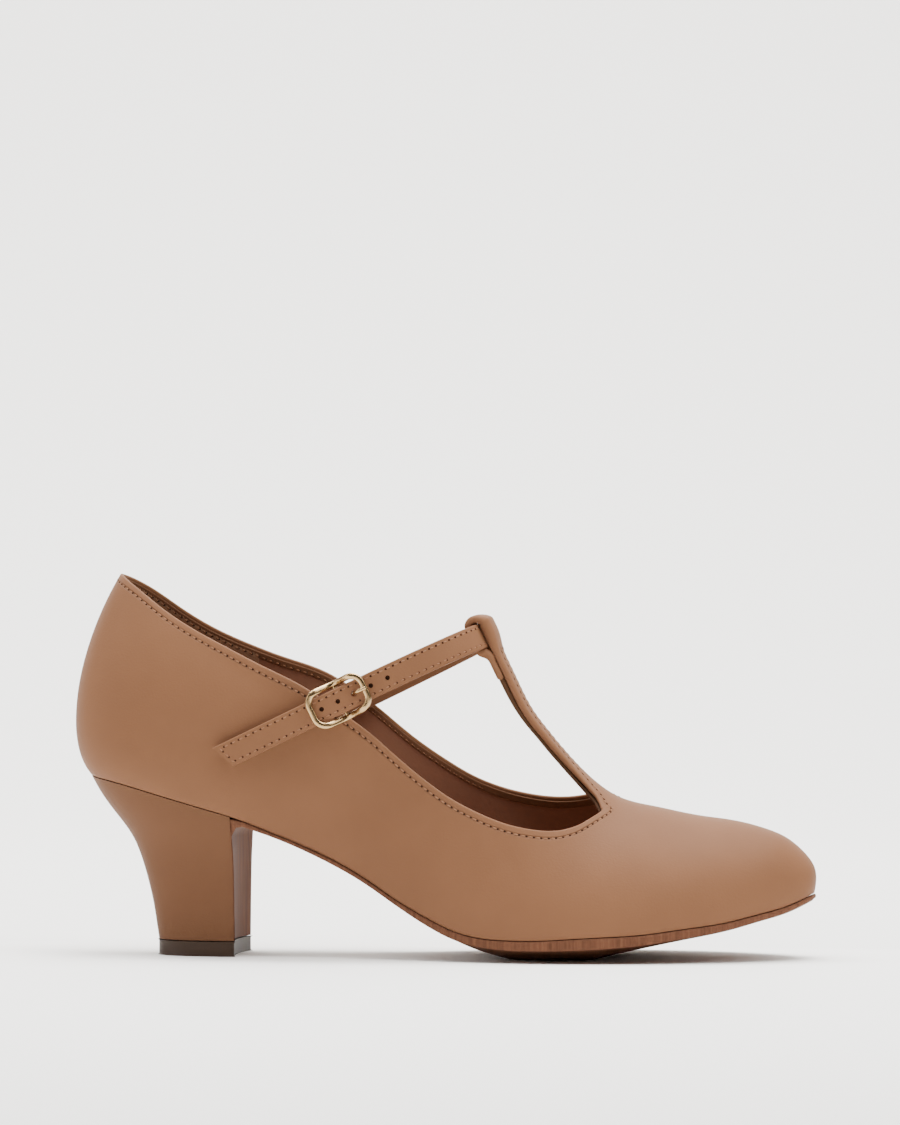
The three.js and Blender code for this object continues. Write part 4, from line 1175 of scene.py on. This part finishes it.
def leather_material(name, colour, roughness, grain, relief):
    """Sewn leather: grain, slow change of tone and seam grooves, their colour darkened with painted
    shade.
    """
    if name in bpy.data.materials:
        return bpy.data.materials[name]
    material, tree, shader = start_material(name)
    skin = group_node(tree, grain_group(), Scale=grain)
    seam = group_node(tree, sewn_group(), Width=SEAM_GROOVE)
    tone = blend_colours(tree, skin.outputs["Tone"], darker(colour, 0.8), darker(colour, 1.2))
    # Painted shade: the colour darkens in the seam grooves.
    groove_shade = blend_colours(tree, seam.outputs["Height"], darker(colour, 0.72), tone)
    tree.links.new(groove_shade, shader.inputs["Base Color"])
    shader.inputs["Specular IOR Level"].default_value = 0.07
    shader.inputs["Roughness"].default_value = roughness
    fine = add_node(tree, "ShaderNodeBump", {
        "Height": skin.outputs["Height"], "Strength": relief, "Distance": 0.00012,
    })
    groove = add_node(tree, "ShaderNodeBump", {
        "Height": seam.outputs["Height"], "Strength": 1.0, "Distance": 0.00035,
        "Normal": fine.outputs["Normal"],
    })
    tree.links.new(groove.outputs["Normal"], shader.inputs["Normal"])
    return material


def plain_material(name, colour, roughness, metallic=0.0, specular=0.5):
    if name in bpy.data.materials:
        return bpy.data.materials[name]
    material, _, shader = start_material(name)
    shader.inputs["Base Color"].default_value = (*colour[:3], 1.0)
    shader.inputs["Roughness"].default_value = roughness
    shader.inputs["Metallic"].default_value = metallic
    shader.inputs["Specular IOR Level"].default_value = specular
    return material


def sole_material(colour):
    """Polished sole leather with streaks that run down the heel's front."""
    name = "Sole leather"
    if name in bpy.data.materials:
        return bpy.data.materials[name]
    material, tree, shader = start_material(name)
    place = add_node(tree, "ShaderNodeTexCoord").outputs["Object"]
    drawn = add_node(tree, "ShaderNodeMapping", {"Vector": place, "Scale": (1.0, 1.0, 0.04)})
    streaks = add_node(tree, "ShaderNodeTexNoise", {
        "Vector": drawn.outputs[0], "Scale": 1100.0, "Detail": 5.0, "Roughness": 0.6,
    })
    tone = blend_colours(tree, streaks.outputs["Fac"], darker(colour, 0.2), darker(colour, 1.8))
    tree.links.new(tone, shader.inputs["Base Color"])
    rough = add_node(tree, "ShaderNodeMapRange", {
        "Value": streaks.outputs["Fac"], "To Min": 0.5, "To Max": 0.8,
    })
    tree.links.new(rough.outputs[0], shader.inputs["Roughness"])
    bump = add_node(tree, "ShaderNodeBump", {
        "Height": streaks.outputs["Fac"], "Strength": 0.5, "Distance": 0.0002,
    })
    tree.links.new(bump.outputs["Normal"], shader.inputs["Normal"])
    shader.inputs["Specular IOR Level"].default_value = 0.06
    return material


def colours():
    return bpy.context.scene.shoe_colours


def tan_material():
    return leather_material("Tan leather", colours().upper, 0.6, 1500.0, 0.5)


def lining_material():
    return leather_material("Lining leather", colours().lining, 0.6, 900.0, 0.5)


def grip_material():
    return leather_material("Heel lining suede", colours().grip, 0.85, 2200.0, 1.0)


def backing_material():
    return leather_material("Bar backing", darker(colours().upper, 0.6), 0.6, 1500.0, 0.35)


def shade_material():
    return plain_material("Hole shade", (0.03, 0.013, 0.007), 0.9, specular=0.02)


def thread_material():
    return plain_material("Thread", colours().thread, 0.8, specular=0.05)


def gold_material():
    return plain_material("Pale gold", colours().gold, 0.24, metallic=1.0)


def lift_material():
    return plain_material("Lift rubber", colours().lift, 0.55, specular=0.25)


def build_upper(pitch):
    """The leather wall with its folded loop, its seams and their stitches."""
    sheet = upper_sheet(EDGE_HALF, True)
    far = np.array(sheet.depths) - LINING
    loop = np.array(sheet.depths) > WALL + 0.01
    far[loop] += LINING * smooth_all((np.array(sheet.depths)[loop] - WALL) / (LOOP_WALL - WALL))
    crease(sheet)
    points, faces = sheet.shell(0, far)
    upper = add_mesh("upper_leather", points, faces)
    outline = [*reversed(edge_line(SEAM_INSET, -1)), *edge_line(SEAM_INSET, 1)[1:]]
    shares = spread(-LOOP_SEAM_REACH, LOOP_SEAM_REACH, 12)
    foot = [plane_rows(LOOP_OUTSIDE, LOOP_SEAM_UP, [share])[0] for share in shares]
    seams = [lie_on(even_line(line, SEAM_STEP), upper, THREAD_SINK) for line in (outline, foot)]
    mark_seams(upper, [spots for spots, _ in seams])
    finish_piece(upper, "upper_leather", ("upper",), tan_material())
    sew("topline_stitches", seams, pitch)


def build_lining():
    """The lining inside the wall."""
    sheet = upper_sheet(LINING_INSET, False)
    depths = np.array(sheet.depths)
    points, faces = sheet.shell(depths - LINING + LINING_LAP, depths)
    lining = add_mesh("lining", points, faces)
    finish_piece(lining, "lining_leather", (), lining_material())


def build_facing(pitch):
    """The strip along the topline's inner face, with its stitches."""
    strip = Sheet()
    for side in (-1, 1):
        rows = []
        for s in upper_stations(FACING_INSETS[0])[1][CORNER_STEPS // 2:]:
            top, low = (opening_shares(s, side, inset)[0] for inset in FACING_INSETS)
            rows.append(strip.row(last_row(s, side, spread(low, top, 8)), WALL))
        strip.grid(rows, side < 0)
    points, faces = strip.shell(WALL - FACING_LAP, WALL + FACING_THICKNESS)
    facing = add_mesh("topline_facing", points, faces)
    finish_piece(facing, "upper_leather", (), tan_material())
    inside = edge_line(SEAM_INSET, -1)[:QUARTER_STEPS][::-1]
    inside += edge_line(SEAM_INSET, 1)[1:QUARTER_STEPS]
    skin = skin_of(facing)
    spots = []
    normals = []
    for at in even_line(inside, SEAM_STEP):
        found, normal, _, _ = skin.find_nearest(Vector(to_frame(at)[0]))
        deeper = found - normal * 4 * (WALL + FACING_THICKNESS) / 1000
        met, normal, _, _ = skin.ray_cast(deeper, found - deeper)
        if met and (met - found).length < 2 * WALL / 1000:
            spots.append((np.array(met) - PLACE) * 1000)
            normals.append(tuple(normal))
    sew("facing_stitches", [(spots, normals)], pitch)


def build_grip():
    """The suede layer inside the heel."""
    grip = Sheet()
    for side in (-1, 1):
        rows = []
        for s in spread(0, GRIP_STATION, 70):
            top = opening_shares(s, side, GRIP_INSET)[0]
            rows.append(grip.row(last_row(s, side, spread(0, top, 40)), WALL, True))
        grip.grid(rows, side > 0)
    points, faces = grip.shell(WALL - GRIP_LAP, WALL + GRIP_THICKNESS)
    piece = add_mesh("heel_grip", points, faces)
    finish_piece(piece, "lining_leather", (), grip_material())


def build_backing():
    """The second layer behind the T-bar, from the throat up to the folded end's tail."""
    sheet = Sheet()
    bar = upper_stations(EDGE_HALF)[0]
    for side in (-1, 1):
        rows = []
        for s in bar:
            shares = spread(opening_shares(s, side, EDGE_HALF)[1], 1, CREST_STEPS)
            rows.append(sheet.row(bar_row(s, side, shares), bar_depth(s)))
        sheet.grid(rows, side < 0)
    depths = np.array(sheet.depths)
    grown = smooth_all(1 + (height_along_bar(np.array(sheet.points)) + LOOP_TAIL) / BAR_TURN)
    thickness = BACKING_THICKNESS + (LOOP_WALL - BACKING_THICKNESS) * grown
    points, faces = sheet.shell(depths + BACKING_GAP, depths + BACKING_GAP + thickness)
    backing = add_mesh("bar_backing", points, faces)
    finish_piece(backing, "lining_leather", (), backing_material())


def section_ring(half, deep, corner):
    """A rounded rectangle as (up, thick) places, the way the strap's skin needs it."""
    ring = []
    centres = ((half - corner, deep - corner), (half - corner, corner - deep),
               (corner - half, corner - deep), (corner - half, deep - corner))
    for k, (up, thick) in enumerate(centres):
        start = math.pi / 2 - k * math.pi / 2
        for turn in spread(start, start - math.pi / 2, 5):
            ring.append((up + corner * math.cos(turn), thick + corner * math.sin(turn)))
    return ring


def add_round(shape, place, bore, depth):
    """Adds a short round rod to the edited mesh."""
    bmesh.ops.create_cone(
        shape, segments=24, cap_ends=True, radius1=bore / 2000, radius2=bore / 2000,
        depth=depth / 1000, matrix=place,
    )


def build_strap(pitch):
    """The ankle strap with its holes, dark discs of painted shade inside them, and its stitched
    edges.
    """
    spots = strap_line(STRAP_STEPS)
    ring = section_ring(STRAP_WIDTH / 2, STRAP_FACE, STRAP_EDGE)
    rings = [
        [strap_place(spots, i, up, thick) for up, thick in ring] for i in range(len(spots))
    ]
    strap = ring_stack("ankle_strap_leather", rings, False)
    cutters = []
    shade_discs = bmesh.new()
    for i in range(HOLE_COUNT):
        along = PRONG_HOLE_AT + (i - HOLE_FIRST) * HOLE_PITCH
        at = strap_spot(run_to(BUCKLE_AT + along * math.cos(STRAP_SLOPE)), -1)
        place = Matrix.Translation(Vector(to_frame(at)[0])) @ Matrix.Rotation(math.pi / 2, 4, "X")
        # Each hole but the prong's gets a dark disc inside it: painted shade.
        if i != HOLE_FIRST:
            add_round(shade_discs, place, HOLE_BORE, SHADE_DISC_THICKNESS)
        shape = bmesh.new()
        bore = PRONG_HOLE_BORE if i == HOLE_FIRST else HOLE_BORE
        add_round(shape, place, bore, 4 * STRAP_THICKNESS)
        cutters.append(from_bmesh("hole", shape))
        cut = strap.modifiers.new("Hole", "BOOLEAN")
        cut.object = cutters[-1]
        cut.solver = "EXACT"
    bake_modifiers(strap)
    for cutter in cutters:
        bpy.data.objects.remove(cutter)
    strap.data.shade_smooth()
    mark_sharp(strap, SHARP_EDGE)
    shade = from_bmesh("hole_shade", shade_discs)
    finish_piece(shade, "upper_leather", (), shade_material())
    inset = STRAP_WIDTH / 2 - STRAP_SEAM_INSET
    lead = range(STRAP_TIP_SKIP, len(spots) - 1)
    upper_row = [strap_place(spots, i, inset, STRAP_FACE) for i in reversed(lead)]
    lower_row = [strap_place(spots, i, -inset, STRAP_FACE) for i in lead]
    seam = lie_on(even_line(upper_row + lower_row, SEAM_STEP), strap, THREAD_SINK)
    mark_seams(strap, [seam[0]])
    finish_piece(strap, "upper_leather", ("ankle_strap",), tan_material())
    sew("strap_stitches", [seam], pitch)


def swept(name, spots, section, closed):
    """A section carried along spots of (centre, wide, thick)."""
    rings = [[at + wide * a + thick * b for a, b in section] for at, wide, thick in spots]
    return ring_stack(name, rings, True, closed)


def oval(radius_a, radius_b, power, steps):
    """A closed oval section; a power over 2 makes it boxier."""
    ring = []
    for turn in spread(0, 2 * math.pi, steps)[:-1]:
        a = math.copysign(abs(math.cos(turn)) ** (2 / power), math.cos(turn))
        b = math.copysign(abs(math.sin(turn)) ** (2 / power), math.sin(turn))
        ring.append((radius_a * a, radius_b * b))
    return ring


def build_frame_ring():
    """The buckle's bowed frame with its centre bar."""
    long = END_BAR_ALONG
    wide = (BUCKLE_HEIGHT - BUCKLE_BAND) / 2
    corner = BUCKLE_CORNER - BUCKLE_BAND / 2
    outline = []
    for turned, (x, y) in enumerate(((1, 1), (-1, 1), (-1, -1), (1, -1))):
        for turn in spread(turned * math.pi / 2, (turned + 1) * math.pi / 2, 12):
            outline.append((
                x * (long - corner) + corner * math.cos(turn),
                y * (wide - corner) + corner * math.sin(turn), 0,
            ))
    outline.append(outline[0])
    path = even_line(outline, RING_STEP)[:-1]
    spots = []
    for i, (x, y, _) in enumerate(path):
        ahead = unit(path[(i + 1) % len(path)] - path[i - 1])
        away = STRAP_ALONG * ahead[1] - BUCKLE_DOWN * ahead[0]
        out = PIN_OUT + (END_BAR_OUT - PIN_OUT) * smooth(abs(x) / BUCKLE_BOW)
        spots.append((on_buckle(x, out, y), away, BUCKLE_OUT))
    section = oval(BUCKLE_BAND / 2, BUCKLE_DEPTH / 2, 2.3, 32)
    ring = swept("buckle_ring", spots, section, True)
    pin_ends = [on_buckle(0, PIN_OUT, end) for end in spread(-wide, wide, 2)]
    pin = swept(
        "buckle_pin", [(at, BUCKLE_OUT, STRAP_ALONG) for at in pin_ends],
        oval(PIN_RADIUS, PIN_RADIUS, 2, 20), False,
    )
    frame_piece = joined("buckle_frame_gold", ring, pin)
    finish_piece(frame_piece, "pale_gold", ("buckle_frame",), gold_material())


def build_prong():
    """The prong: an eye round the centre bar and a rod through the strap's hole."""
    middle = PIN_RADIUS + PIN_GAP + PRONG_EYE / 2
    eye = []
    for turn in spread(0, 2 * math.pi, 36)[:-1]:
        c, s = math.cos(turn), math.sin(turn)
        at = on_buckle(middle * c, PIN_OUT + middle * s, 0)
        eye.append((at, STRAP_ALONG * c + BUCKLE_OUT * s, -BUCKLE_DOWN))
    eye_piece = swept("prong_eye", eye, oval(PRONG_EYE / 2, PRONG_RADIUS, 2, 16), True)
    over = END_BAR_OUT + BUCKLE_DEPTH / 2 + GAP + PRONG_RADIUS
    under = -STRAP_FACE - PIN_GAP - PRONG_RADIUS
    knots = np.array([
        (middle, PIN_OUT, 0), (PRONG_HOLE_AT - 1.8, under - 0.5, 0),
        (PRONG_HOLE_AT - 0.05, -STRAP_FACE - 0.1, 0), (PRONG_HOLE_AT, 0.2, 0),
        (PRONG_HOLE_AT + 0.25, STRAP_FACE + 0.4, 0), (PRONG_HOLE_AT + 1.9, over - 0.1, 0),
        (END_BAR_ALONG + BUCKLE_BAND / 2 - 0.4, over, 0),
    ])
    gaps = np.linalg.norm(np.diff(knots, axis=0), axis=1) ** 0.5
    times = [0.0, *np.cumsum(gaps)]
    curves = [natural_curve(times, list(knots[:, k])) for k in (0, 1)]
    path = np.array([[curve(t) for curve in curves] for t in spread(0, times[-1], 60)])
    rod = []
    for i, (x, y) in enumerate(path):
        ahead = unit(path[min(i + 1, 60)] - path[max(i - 1, 0)])
        across = BUCKLE_OUT * ahead[0] - STRAP_ALONG * ahead[1]
        rod.append((on_buckle(x, y, 0), across, BUCKLE_DOWN))
    rod_piece = swept("prong_rod", rod, oval(PRONG_RADIUS, PRONG_RADIUS, 2, 16), False)
    prong = joined("buckle_prong_gold", eye_piece, rod_piece)
    finish_piece(prong, "pale_gold", ("buckle_prong",), gold_material())


def build_tab():
    """The tab that holds the centre bar: a merged copy of the model's own piece."""
    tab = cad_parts["buckle_tab"].copy()
    tab.data = tab.data.copy()
    tab.name = "buckle_tab_leather"
    tab.parent = None
    tab.data.materials.clear()
    bpy.context.scene.collection.objects.link(tab)
    shape = bmesh.new()
    shape.from_mesh(tab.data)
    bmesh.ops.remove_doubles(shape, verts=shape.verts, dist=1e-6)
    shape.to_mesh(tab.data)
    shape.free()
    mark_sharp(tab, TAB_SHARP_EDGE)
    finish_piece(tab, "upper_leather", ("buckle_tab",), tan_material())


def joined(name, first, second):
    """Two closed shapes as one object."""
    shape = bmesh.new()
    for piece in (first, second):
        shape.from_mesh(piece.data)
        bpy.data.objects.remove(piece)
    piece = from_bmesh(name, shape)
    piece.data.shade_smooth()
    mark_sharp(piece, SHARP_EDGE)
    return piece


def bed_dip(x):
    """The bed under the foot dips in the middle where the sole does."""
    share = x / LENGTH
    crown = tread_edge(share) - max(0, tread_centre(share))
    return HEEL_RISE * TOP_CROWN * crown * smooth((share - DIP_START) / DIP_RUN)


def outline_row(s, inset, height, across):
    """Points across the outline. A narrow row counts as edge, to close on a point."""
    outer = seam_point(s, -1) - inset * seam_outward(s, -1)
    inner = seam_point(s, 1) - inset * seam_outward(s, 1)
    open_share = smooth(np.linalg.norm(outer - inner) / NARROW_ROW)
    row = []
    for w in across:
        at = outer + (inner - outer) * (1 + w) / 2
        at[2] = height(at[0], 1 - (1 - abs(w)) * open_share)
        row.append(at)
    return row


def plate(name, rows):
    """A plate from toe to heel, with round edges. Each row has the points across its
    top and its low face, and the directions out of the plate at its start and its end."""
    rings = []
    for top, low, out_start, out_end in rows:
        ring = list(top)
        for ends, out in (((top[-1], low[-1]), out_end), ((low[0], top[0]), out_start)):
            middle = (ends[0] + ends[1]) / 2
            half = (ends[0] - ends[1]) / 2
            for turn in spread(0, math.pi, 6)[1:-1]:
                ring.append(middle + half * math.cos(turn) + out * SOLE_ROUND * math.sin(turn))
            if ends[0] is top[-1]:
                ring += list(reversed(low))
        rings.append(ring)
    return ring_stack(name, rings, True)


def build_insole():
    """The board that closes the inside, over the sole."""
    inset = WALL + INSOLE_INSET + SOLE_ROUND

    def bed(x, w):
        return seam_height(x) + INSOLE_LIFT - bed_dip(x) * (1 - w * w)

    def top(x, w):
        return bed(x, w) + INSOLE_THICKNESS

    across = spread(-1, 1, 24)
    rows = []
    for s in reversed(spread(0, 1, 90)):
        rows.append((
            outline_row(s, inset, top, across), outline_row(s, inset, bed, across),
            seam_outward(s, -1), seam_outward(s, 1),
        ))
    insole = plate("insole_board", rows)
    finish_piece(insole, "lining_leather", ("insole",), lining_material())


def breast_at(w):
    return BREAST_AT - BREAST_HOLLOW * (1 - w * w)


SEAT_STATION = crossing(lambda s: LENGTH * rib_along(s) - BREAST_AT, 0.1, 0.5)


def heel_ring(rise, front_gap, tuck, back_steps, breast_steps):
    """One ring of the heel at a share of its rise: round the back, then the breast."""
    foot = LIFT_THICKNESS + GAP
    back = []
    for turn in spread(-1, 1, back_steps):
        side = -1 if turn < 0 else 1
        seat = seam_point(SEAT_STATION * abs(turn), side).copy()
        start = seam_point(0, 1)[0]
        seat[0] -= front_gap * (seat[0] - start) / (seam_point(SEAT_STATION, side)[0] - start)
        angle = abs(turn) * math.pi / 2
        front = BREAST_AT - front_gap
        low = np.array([
            front - (front - LIFT_BACK_AT) * max(math.cos(angle), 0) ** LIFT_BACK_ROUND,
            side * LIFT_WIDTH / 2 * math.sin(angle) ** LIFT_SIDE_ROUND,
            0,
        ])
        at = seat + (low - seat) * flare(rise)
        at[2] = foot + rise * (seam_height(at[0]) - GAP - foot)
        back.append(at)
    breast = []
    inner = FLAP_REACH - FLAP_STEP
    for w in (-FLAP_REACH, *spread(-inner, inner, breast_steps), FLAP_REACH):
        at = back[0] + (back[-1] - back[0]) * (1 + w) / 2
        at[0] -= BREAST_HOLLOW * (1 - w * w) + (tuck if abs(w) < FLAP_REACH else 0)
        at[2] = foot + rise * (seam_height(at[0]) - GAP - foot)
        breast.append(at)
    return back + breast[::-1]


def stacked(name, rings, bevel):
    """Rings stacked up between two end faces, with bevelled edges."""
    sheet = Sheet()
    loops = [row + row[:1] for row in map(sheet.row, rings)]
    sheet.grid(loops, False)
    sheet.faces += [tuple(reversed(loops[0][:-1])), tuple(loops[-1][:-1])]
    piece = add_mesh(name, sheet.points, sheet.faces)
    bevelled(piece, bevel, SHARP_EDGE)
    mark_sharp(piece, SHARP_EDGE)
    return piece


def build_heel():
    """The covered heel, whose front corners reach round the sole's flap, and its top lift."""
    rings = [
        heel_ring(rise, COVER_GAP, FLAP_THICKNESS, BACK_STEPS, BREAST_STEPS)
        for rise in spread(0, 1, HEEL_ROWS)
    ]
    heel = stacked("heel_cover", rings, COVER_ROUND)
    finish_piece(heel, "upper_leather", ("heel",), tan_material())
    ring = heel_ring(0, 0, 0, BACK_STEPS, BREAST_STEPS)
    flat = [[np.array([*at[:2], height]) for at in ring] for height in (0, LIFT_THICKNESS)]
    lift = stacked("top_lift_rubber", flat, LIFT_ROUND)
    finish_piece(lift, "lift_rubber", ("top_lift",), lift_material())


def build_outsole():
    """The thin sole, from the toe through the shank and down the heel's front."""
    across = spread(-1, 1, 28)
    bend_at = BREAST_AT + FLAP_BEND
    bend_station = crossing(lambda s: LENGTH * rib_along(s) - bend_at, 0.1, 0.5)

    def tread(x, w):
        edge = HEEL_RISE * tread_edge(x / LENGTH)
        centre = HEEL_RISE * max(0, tread_centre(x / LENGTH))
        return centre + (edge - centre) * smooth((abs(w) - FLAT_SHARE) / (1 - FLAT_SHARE))

    def bed(x, w):
        return seam_height(x) - GAP - bed_dip(x) * (1 - w * w)

    inset = SOLE_ROUND - SOLE_MARGIN
    rows = []
    for s in spread(1, 0.9, 24) + spread(0.9, bend_station, 110)[1:]:
        rows.append((
            outline_row(s, inset, bed, across), outline_row(s, inset, tread, across),
            seam_outward(s, -1), seam_outward(s, 1),
        ))
    bend_top = seam_height(BREAST_AT) - GAP
    bend_low = HEEL_RISE * tread_edge(bend_at / LENGTH)
    foot = LIFT_THICKNESS + GAP

    def bend(height):
        return smooth((height - bend_low + FLAP_DROP) / FLAP_DROP)

    def flap_row(lead, height, thickness):
        rise = clamp((height - foot) / (bend_top - foot), 0, 1)
        ring = heel_ring(rise, thickness - FLAP_THICKNESS, 0, 2, 2)
        row = []
        for w in across:
            edge = ring[0] if w < 0 else ring[2]
            reach = abs(edge[1]) * FLAP_REACH - SOLE_ROUND - FLAP_EDGE_GAP
            reach += FLAP_WIDENING * bend(height)
            row.append(np.array([breast_at(w) + lead - thickness, w * reach, height]))
        return row

    outs = (np.array([0, -1, 0]), np.array([0, 1, 0]))
    rows.append((
        flap_row(FLAP_LEAD, bend_top - BEND_DROP, FLAP_THICKNESS),
        flap_row(FLAP_CORNER, bend_low - BEND_DROP, 0), *outs,
    ))
    for height in spread(bend_low - FLAP_DROP, foot, 40):
        rows.append((flap_row(0, height, FLAP_THICKNESS), flap_row(0, height, 0), *outs))
    sole = plate("outsole_leather", rows)
    mark_sharp(sole, SOLE_SHARP_EDGE)
    finish_piece(sole, "sole_leather", ("outsole",), sole_material(colours().sole))


def area_light(name, place, aim, size, power):
    """A large soft light aimed at a point, in metres and watts."""
    lamp = bpy.data.lights.new(name, "AREA")
    lamp.shape = "RECTANGLE"
    lamp.size, lamp.size_y = size
    lamp.energy = power
    light = new_object(name, lamp)
    light.location = place
    light.rotation_euler = (Vector(aim) - Vector(place)).to_track_quat("-Z", "Y").to_euler()
    return light


def paper_material(colour):
    """Studio paper with painted light and shade: lighter in front of the shoe and darker behind it.
    """
    material, tree, shader = start_material("Studio paper")
    place = add_node(tree, "ShaderNodeTexCoord").outputs["Object"]
    parts = add_node(tree, "ShaderNodeSeparateXYZ", {"Vector": place})
    behind = add_node(tree, "ShaderNodeMapRange", {
        "Value": parts.outputs["Y"], "From Min": FLOOR_EDGE - 0.012, "From Max": FLOOR_EDGE + 0.012,
    }, interpolation_type="SMOOTHSTEP")
    tone = blend_colours(tree, behind.outputs[0], darker(colour, 1.0), darker(colour, FLOOR_BEHIND))
    tree.links.new(tone, shader.inputs["Base Color"])
    shader.inputs["Roughness"].default_value = 0.9
    return material


def build_floor():
    """Studio paper that lies flat and then curves up behind the shoe."""
    profile = [(-PAPER_REACH, 0.0), (PAPER_BEND_AT, 0.0)]
    for turn in spread(0, math.pi / 2, 10)[1:]:
        out = PAPER_BEND_AT + PAPER_BEND * math.sin(turn)
        profile.append((out, PAPER_BEND * (1 - math.cos(turn))))
    profile.append((PAPER_BEND_AT + PAPER_BEND, PAPER_REACH))
    points = [(side * PAPER_REACH, y, z) for y, z in profile for side in (-1, 1)]
    faces = [(2 * i, 2 * i + 1, 2 * i + 3, 2 * i + 2) for i in range(len(profile) - 1)]
    mesh = bpy.data.meshes.new("floor")
    mesh.from_pydata(points, [], faces)
    mesh.shade_smooth()
    mesh.materials.append(paper_material(colours().floor))
    return new_object("floor", mesh)


def build_card():
    """A dark card behind the camera, for the buckle to mirror."""
    half, low, high = CARD_SIZE
    corners = ((-half, low), (half, low), (half, high), (-half, high))
    mesh = bpy.data.meshes.new("dark_card")
    mesh.from_pydata([(x, CARD_AT, z) for x, z in corners], [], [(0, 1, 2, 3)])
    mesh.materials.append(plain_material("Dark card", (0.02, 0.02, 0.02), 0.9))
    return new_object("dark_card", mesh)


def build_camera():
    turn = math.radians(CAMERA_TURN)
    data = bpy.data.cameras.new("camera")
    data.sensor_fit = "VERTICAL"
    data.sensor_height = 36
    data.lens = CAMERA_LENS
    data.clip_end = 20
    camera = new_object("camera", data)
    aside = CAMERA_DISTANCE * math.sin(turn)
    back = CAMERA_DISTANCE * math.cos(turn)
    camera.location = to_frame([CAMERA_AIM_X + aside, -back, CAMERA_HEIGHT])[0]
    look = Vector((-math.sin(turn), math.cos(turn), -math.tan(math.radians(CAMERA_PITCH))))
    camera.rotation_euler = look.to_track_quat("-Z", "Y").to_euler()
    bpy.context.scene.camera = camera
    return camera


def build_stage():
    """Floor, lights, surroundings and the camera at the photo's angle."""
    floor = build_floor()
    lights = [area_light(*light) for light in LIGHTS]
    world = bpy.data.worlds.new("Studio")
    world.use_nodes = True
    background = world.node_tree.nodes["Background"]
    background.inputs["Color"].default_value = (1, 1, 1, 1)
    background.inputs["Strength"].default_value = WORLD_LIGHT
    bpy.context.scene.world = world
    camera = build_camera()
    build_card()


def length_size(name, description, default):
    """A property for a length in metres."""
    return FloatProperty(
        name=name, description=description, default=default, min=0.0, unit="LENGTH",
    )


def colour_size(name, description, default):
    """A property for a linear colour."""
    return FloatVectorProperty(
        name=name, description=description, default=default, size=3, min=0.0, max=1.0,
        subtype="COLOR",
    )


class ShoeSizes(PropertyGroup):
    """Sizes of the seams."""

    stitch_pitch: length_size("Stitch pitch", "Run of one stitch along the topline", 0.00245)
    strap_pitch: length_size("Strap stitch pitch", "Run of one stitch along the strap", 0.0027)


class ShoeColours(PropertyGroup):
    """Colours of the materials."""

    upper: colour_size("Upper", "Tan leather of the upper, heel and strap", (0.172, 0.079, 0.0395))
    lining: colour_size("Lining", "Dark reddish brown lining of the forepart", (0.31, 0.15, 0.093))
    grip: colour_size("Heel grip", "Mid-brown suede inside the heel", (0.31, 0.175, 0.105))
    thread: colour_size("Thread", "Light pinkish thread of the seams", (0.235, 0.115, 0.064))
    gold: colour_size("Gold", "Pale gold of the buckle", (0.44, 0.29, 0.14))
    sole: colour_size("Sole", "Polished brown sole leather", (0.115, 0.048, 0.026))
    lift: colour_size("Lift", "Dark rubber of the heel's wearing piece", (0.038, 0.020, 0.011))
    floor: colour_size("Floor", "Pale studio paper", (0.95, 0.935, 0.905))


class SHOE_OT_upper(Operator):
    """Build the upper, its seams and its linings"""

    bl_idname = "shoe.upper"
    bl_label = "Upper"

    def execute(self, context):
        pitch = context.scene.shoe_sizes.stitch_pitch * 1000
        build_upper(pitch)
        build_lining()
        build_facing(pitch)
        build_grip()
        build_backing()
        return {"FINISHED"}


class SHOE_OT_strap(Operator):
    """Build the ankle strap and its seams"""

    bl_idname = "shoe.strap"
    bl_label = "Ankle strap"

    def execute(self, context):
        build_strap(context.scene.shoe_sizes.strap_pitch * 1000)
        return {"FINISHED"}


class SHOE_OT_buckle(Operator):
    """Build the buckle, its prong and its tab"""

    bl_idname = "shoe.buckle"
    bl_label = "Buckle"

    def execute(self, context):
        build_frame_ring()
        build_prong()
        build_tab()
        return {"FINISHED"}


class SHOE_OT_bottom(Operator):
    """Build the insole, the outsole, the heel and its top lift"""

    bl_idname = "shoe.bottom"
    bl_label = "Sole and heel"

    def execute(self, context):
        build_insole()
        build_outsole()
        build_heel()
        return {"FINISHED"}


class SHOE_OT_stage(Operator):
    """Build the floor, the lights and the camera"""

    bl_idname = "shoe.stage"
    bl_label = "Stage"

    def execute(self, context):
        build_stage()
        return {"FINISHED"}


class SHOE_PT_panel(Panel):
    """The shoe's pieces, sizes and colours"""

    bl_label = "Character shoe"
    bl_idname = "SHOE_PT_panel"
    bl_space_type = "VIEW_3D"
    bl_region_type = "UI"
    bl_category = "Shoe"

    def draw(self, context):
        layout = self.layout
        for operator in OPERATORS:
            layout.operator(operator.bl_idname)
        for group in (context.scene.shoe_sizes, context.scene.shoe_colours):
            for name in group.__annotations__:
                layout.prop(group, name)


OPERATORS = (SHOE_OT_upper, SHOE_OT_strap, SHOE_OT_buckle, SHOE_OT_bottom, SHOE_OT_stage)
CLASSES = (ShoeSizes, ShoeColours, *OPERATORS, SHOE_PT_panel)


def register():
    for entry in CLASSES:
        bpy.utils.register_class(entry)
    bpy.types.Scene.shoe_sizes = PointerProperty(type=ShoeSizes)
    bpy.types.Scene.shoe_colours = PointerProperty(type=ShoeColours)


def unregister():
    del bpy.types.Scene.shoe_colours
    del bpy.types.Scene.shoe_sizes
    for entry in reversed(CLASSES):
        bpy.utils.unregister_class(entry)


def main():
    register()
    bpy.ops.shoe.upper()
    bpy.ops.shoe.strap()
    bpy.ops.shoe.buckle()
    bpy.ops.shoe.bottom()
    bpy.ops.shoe.stage()


if __name__ == "__main__":
    main()
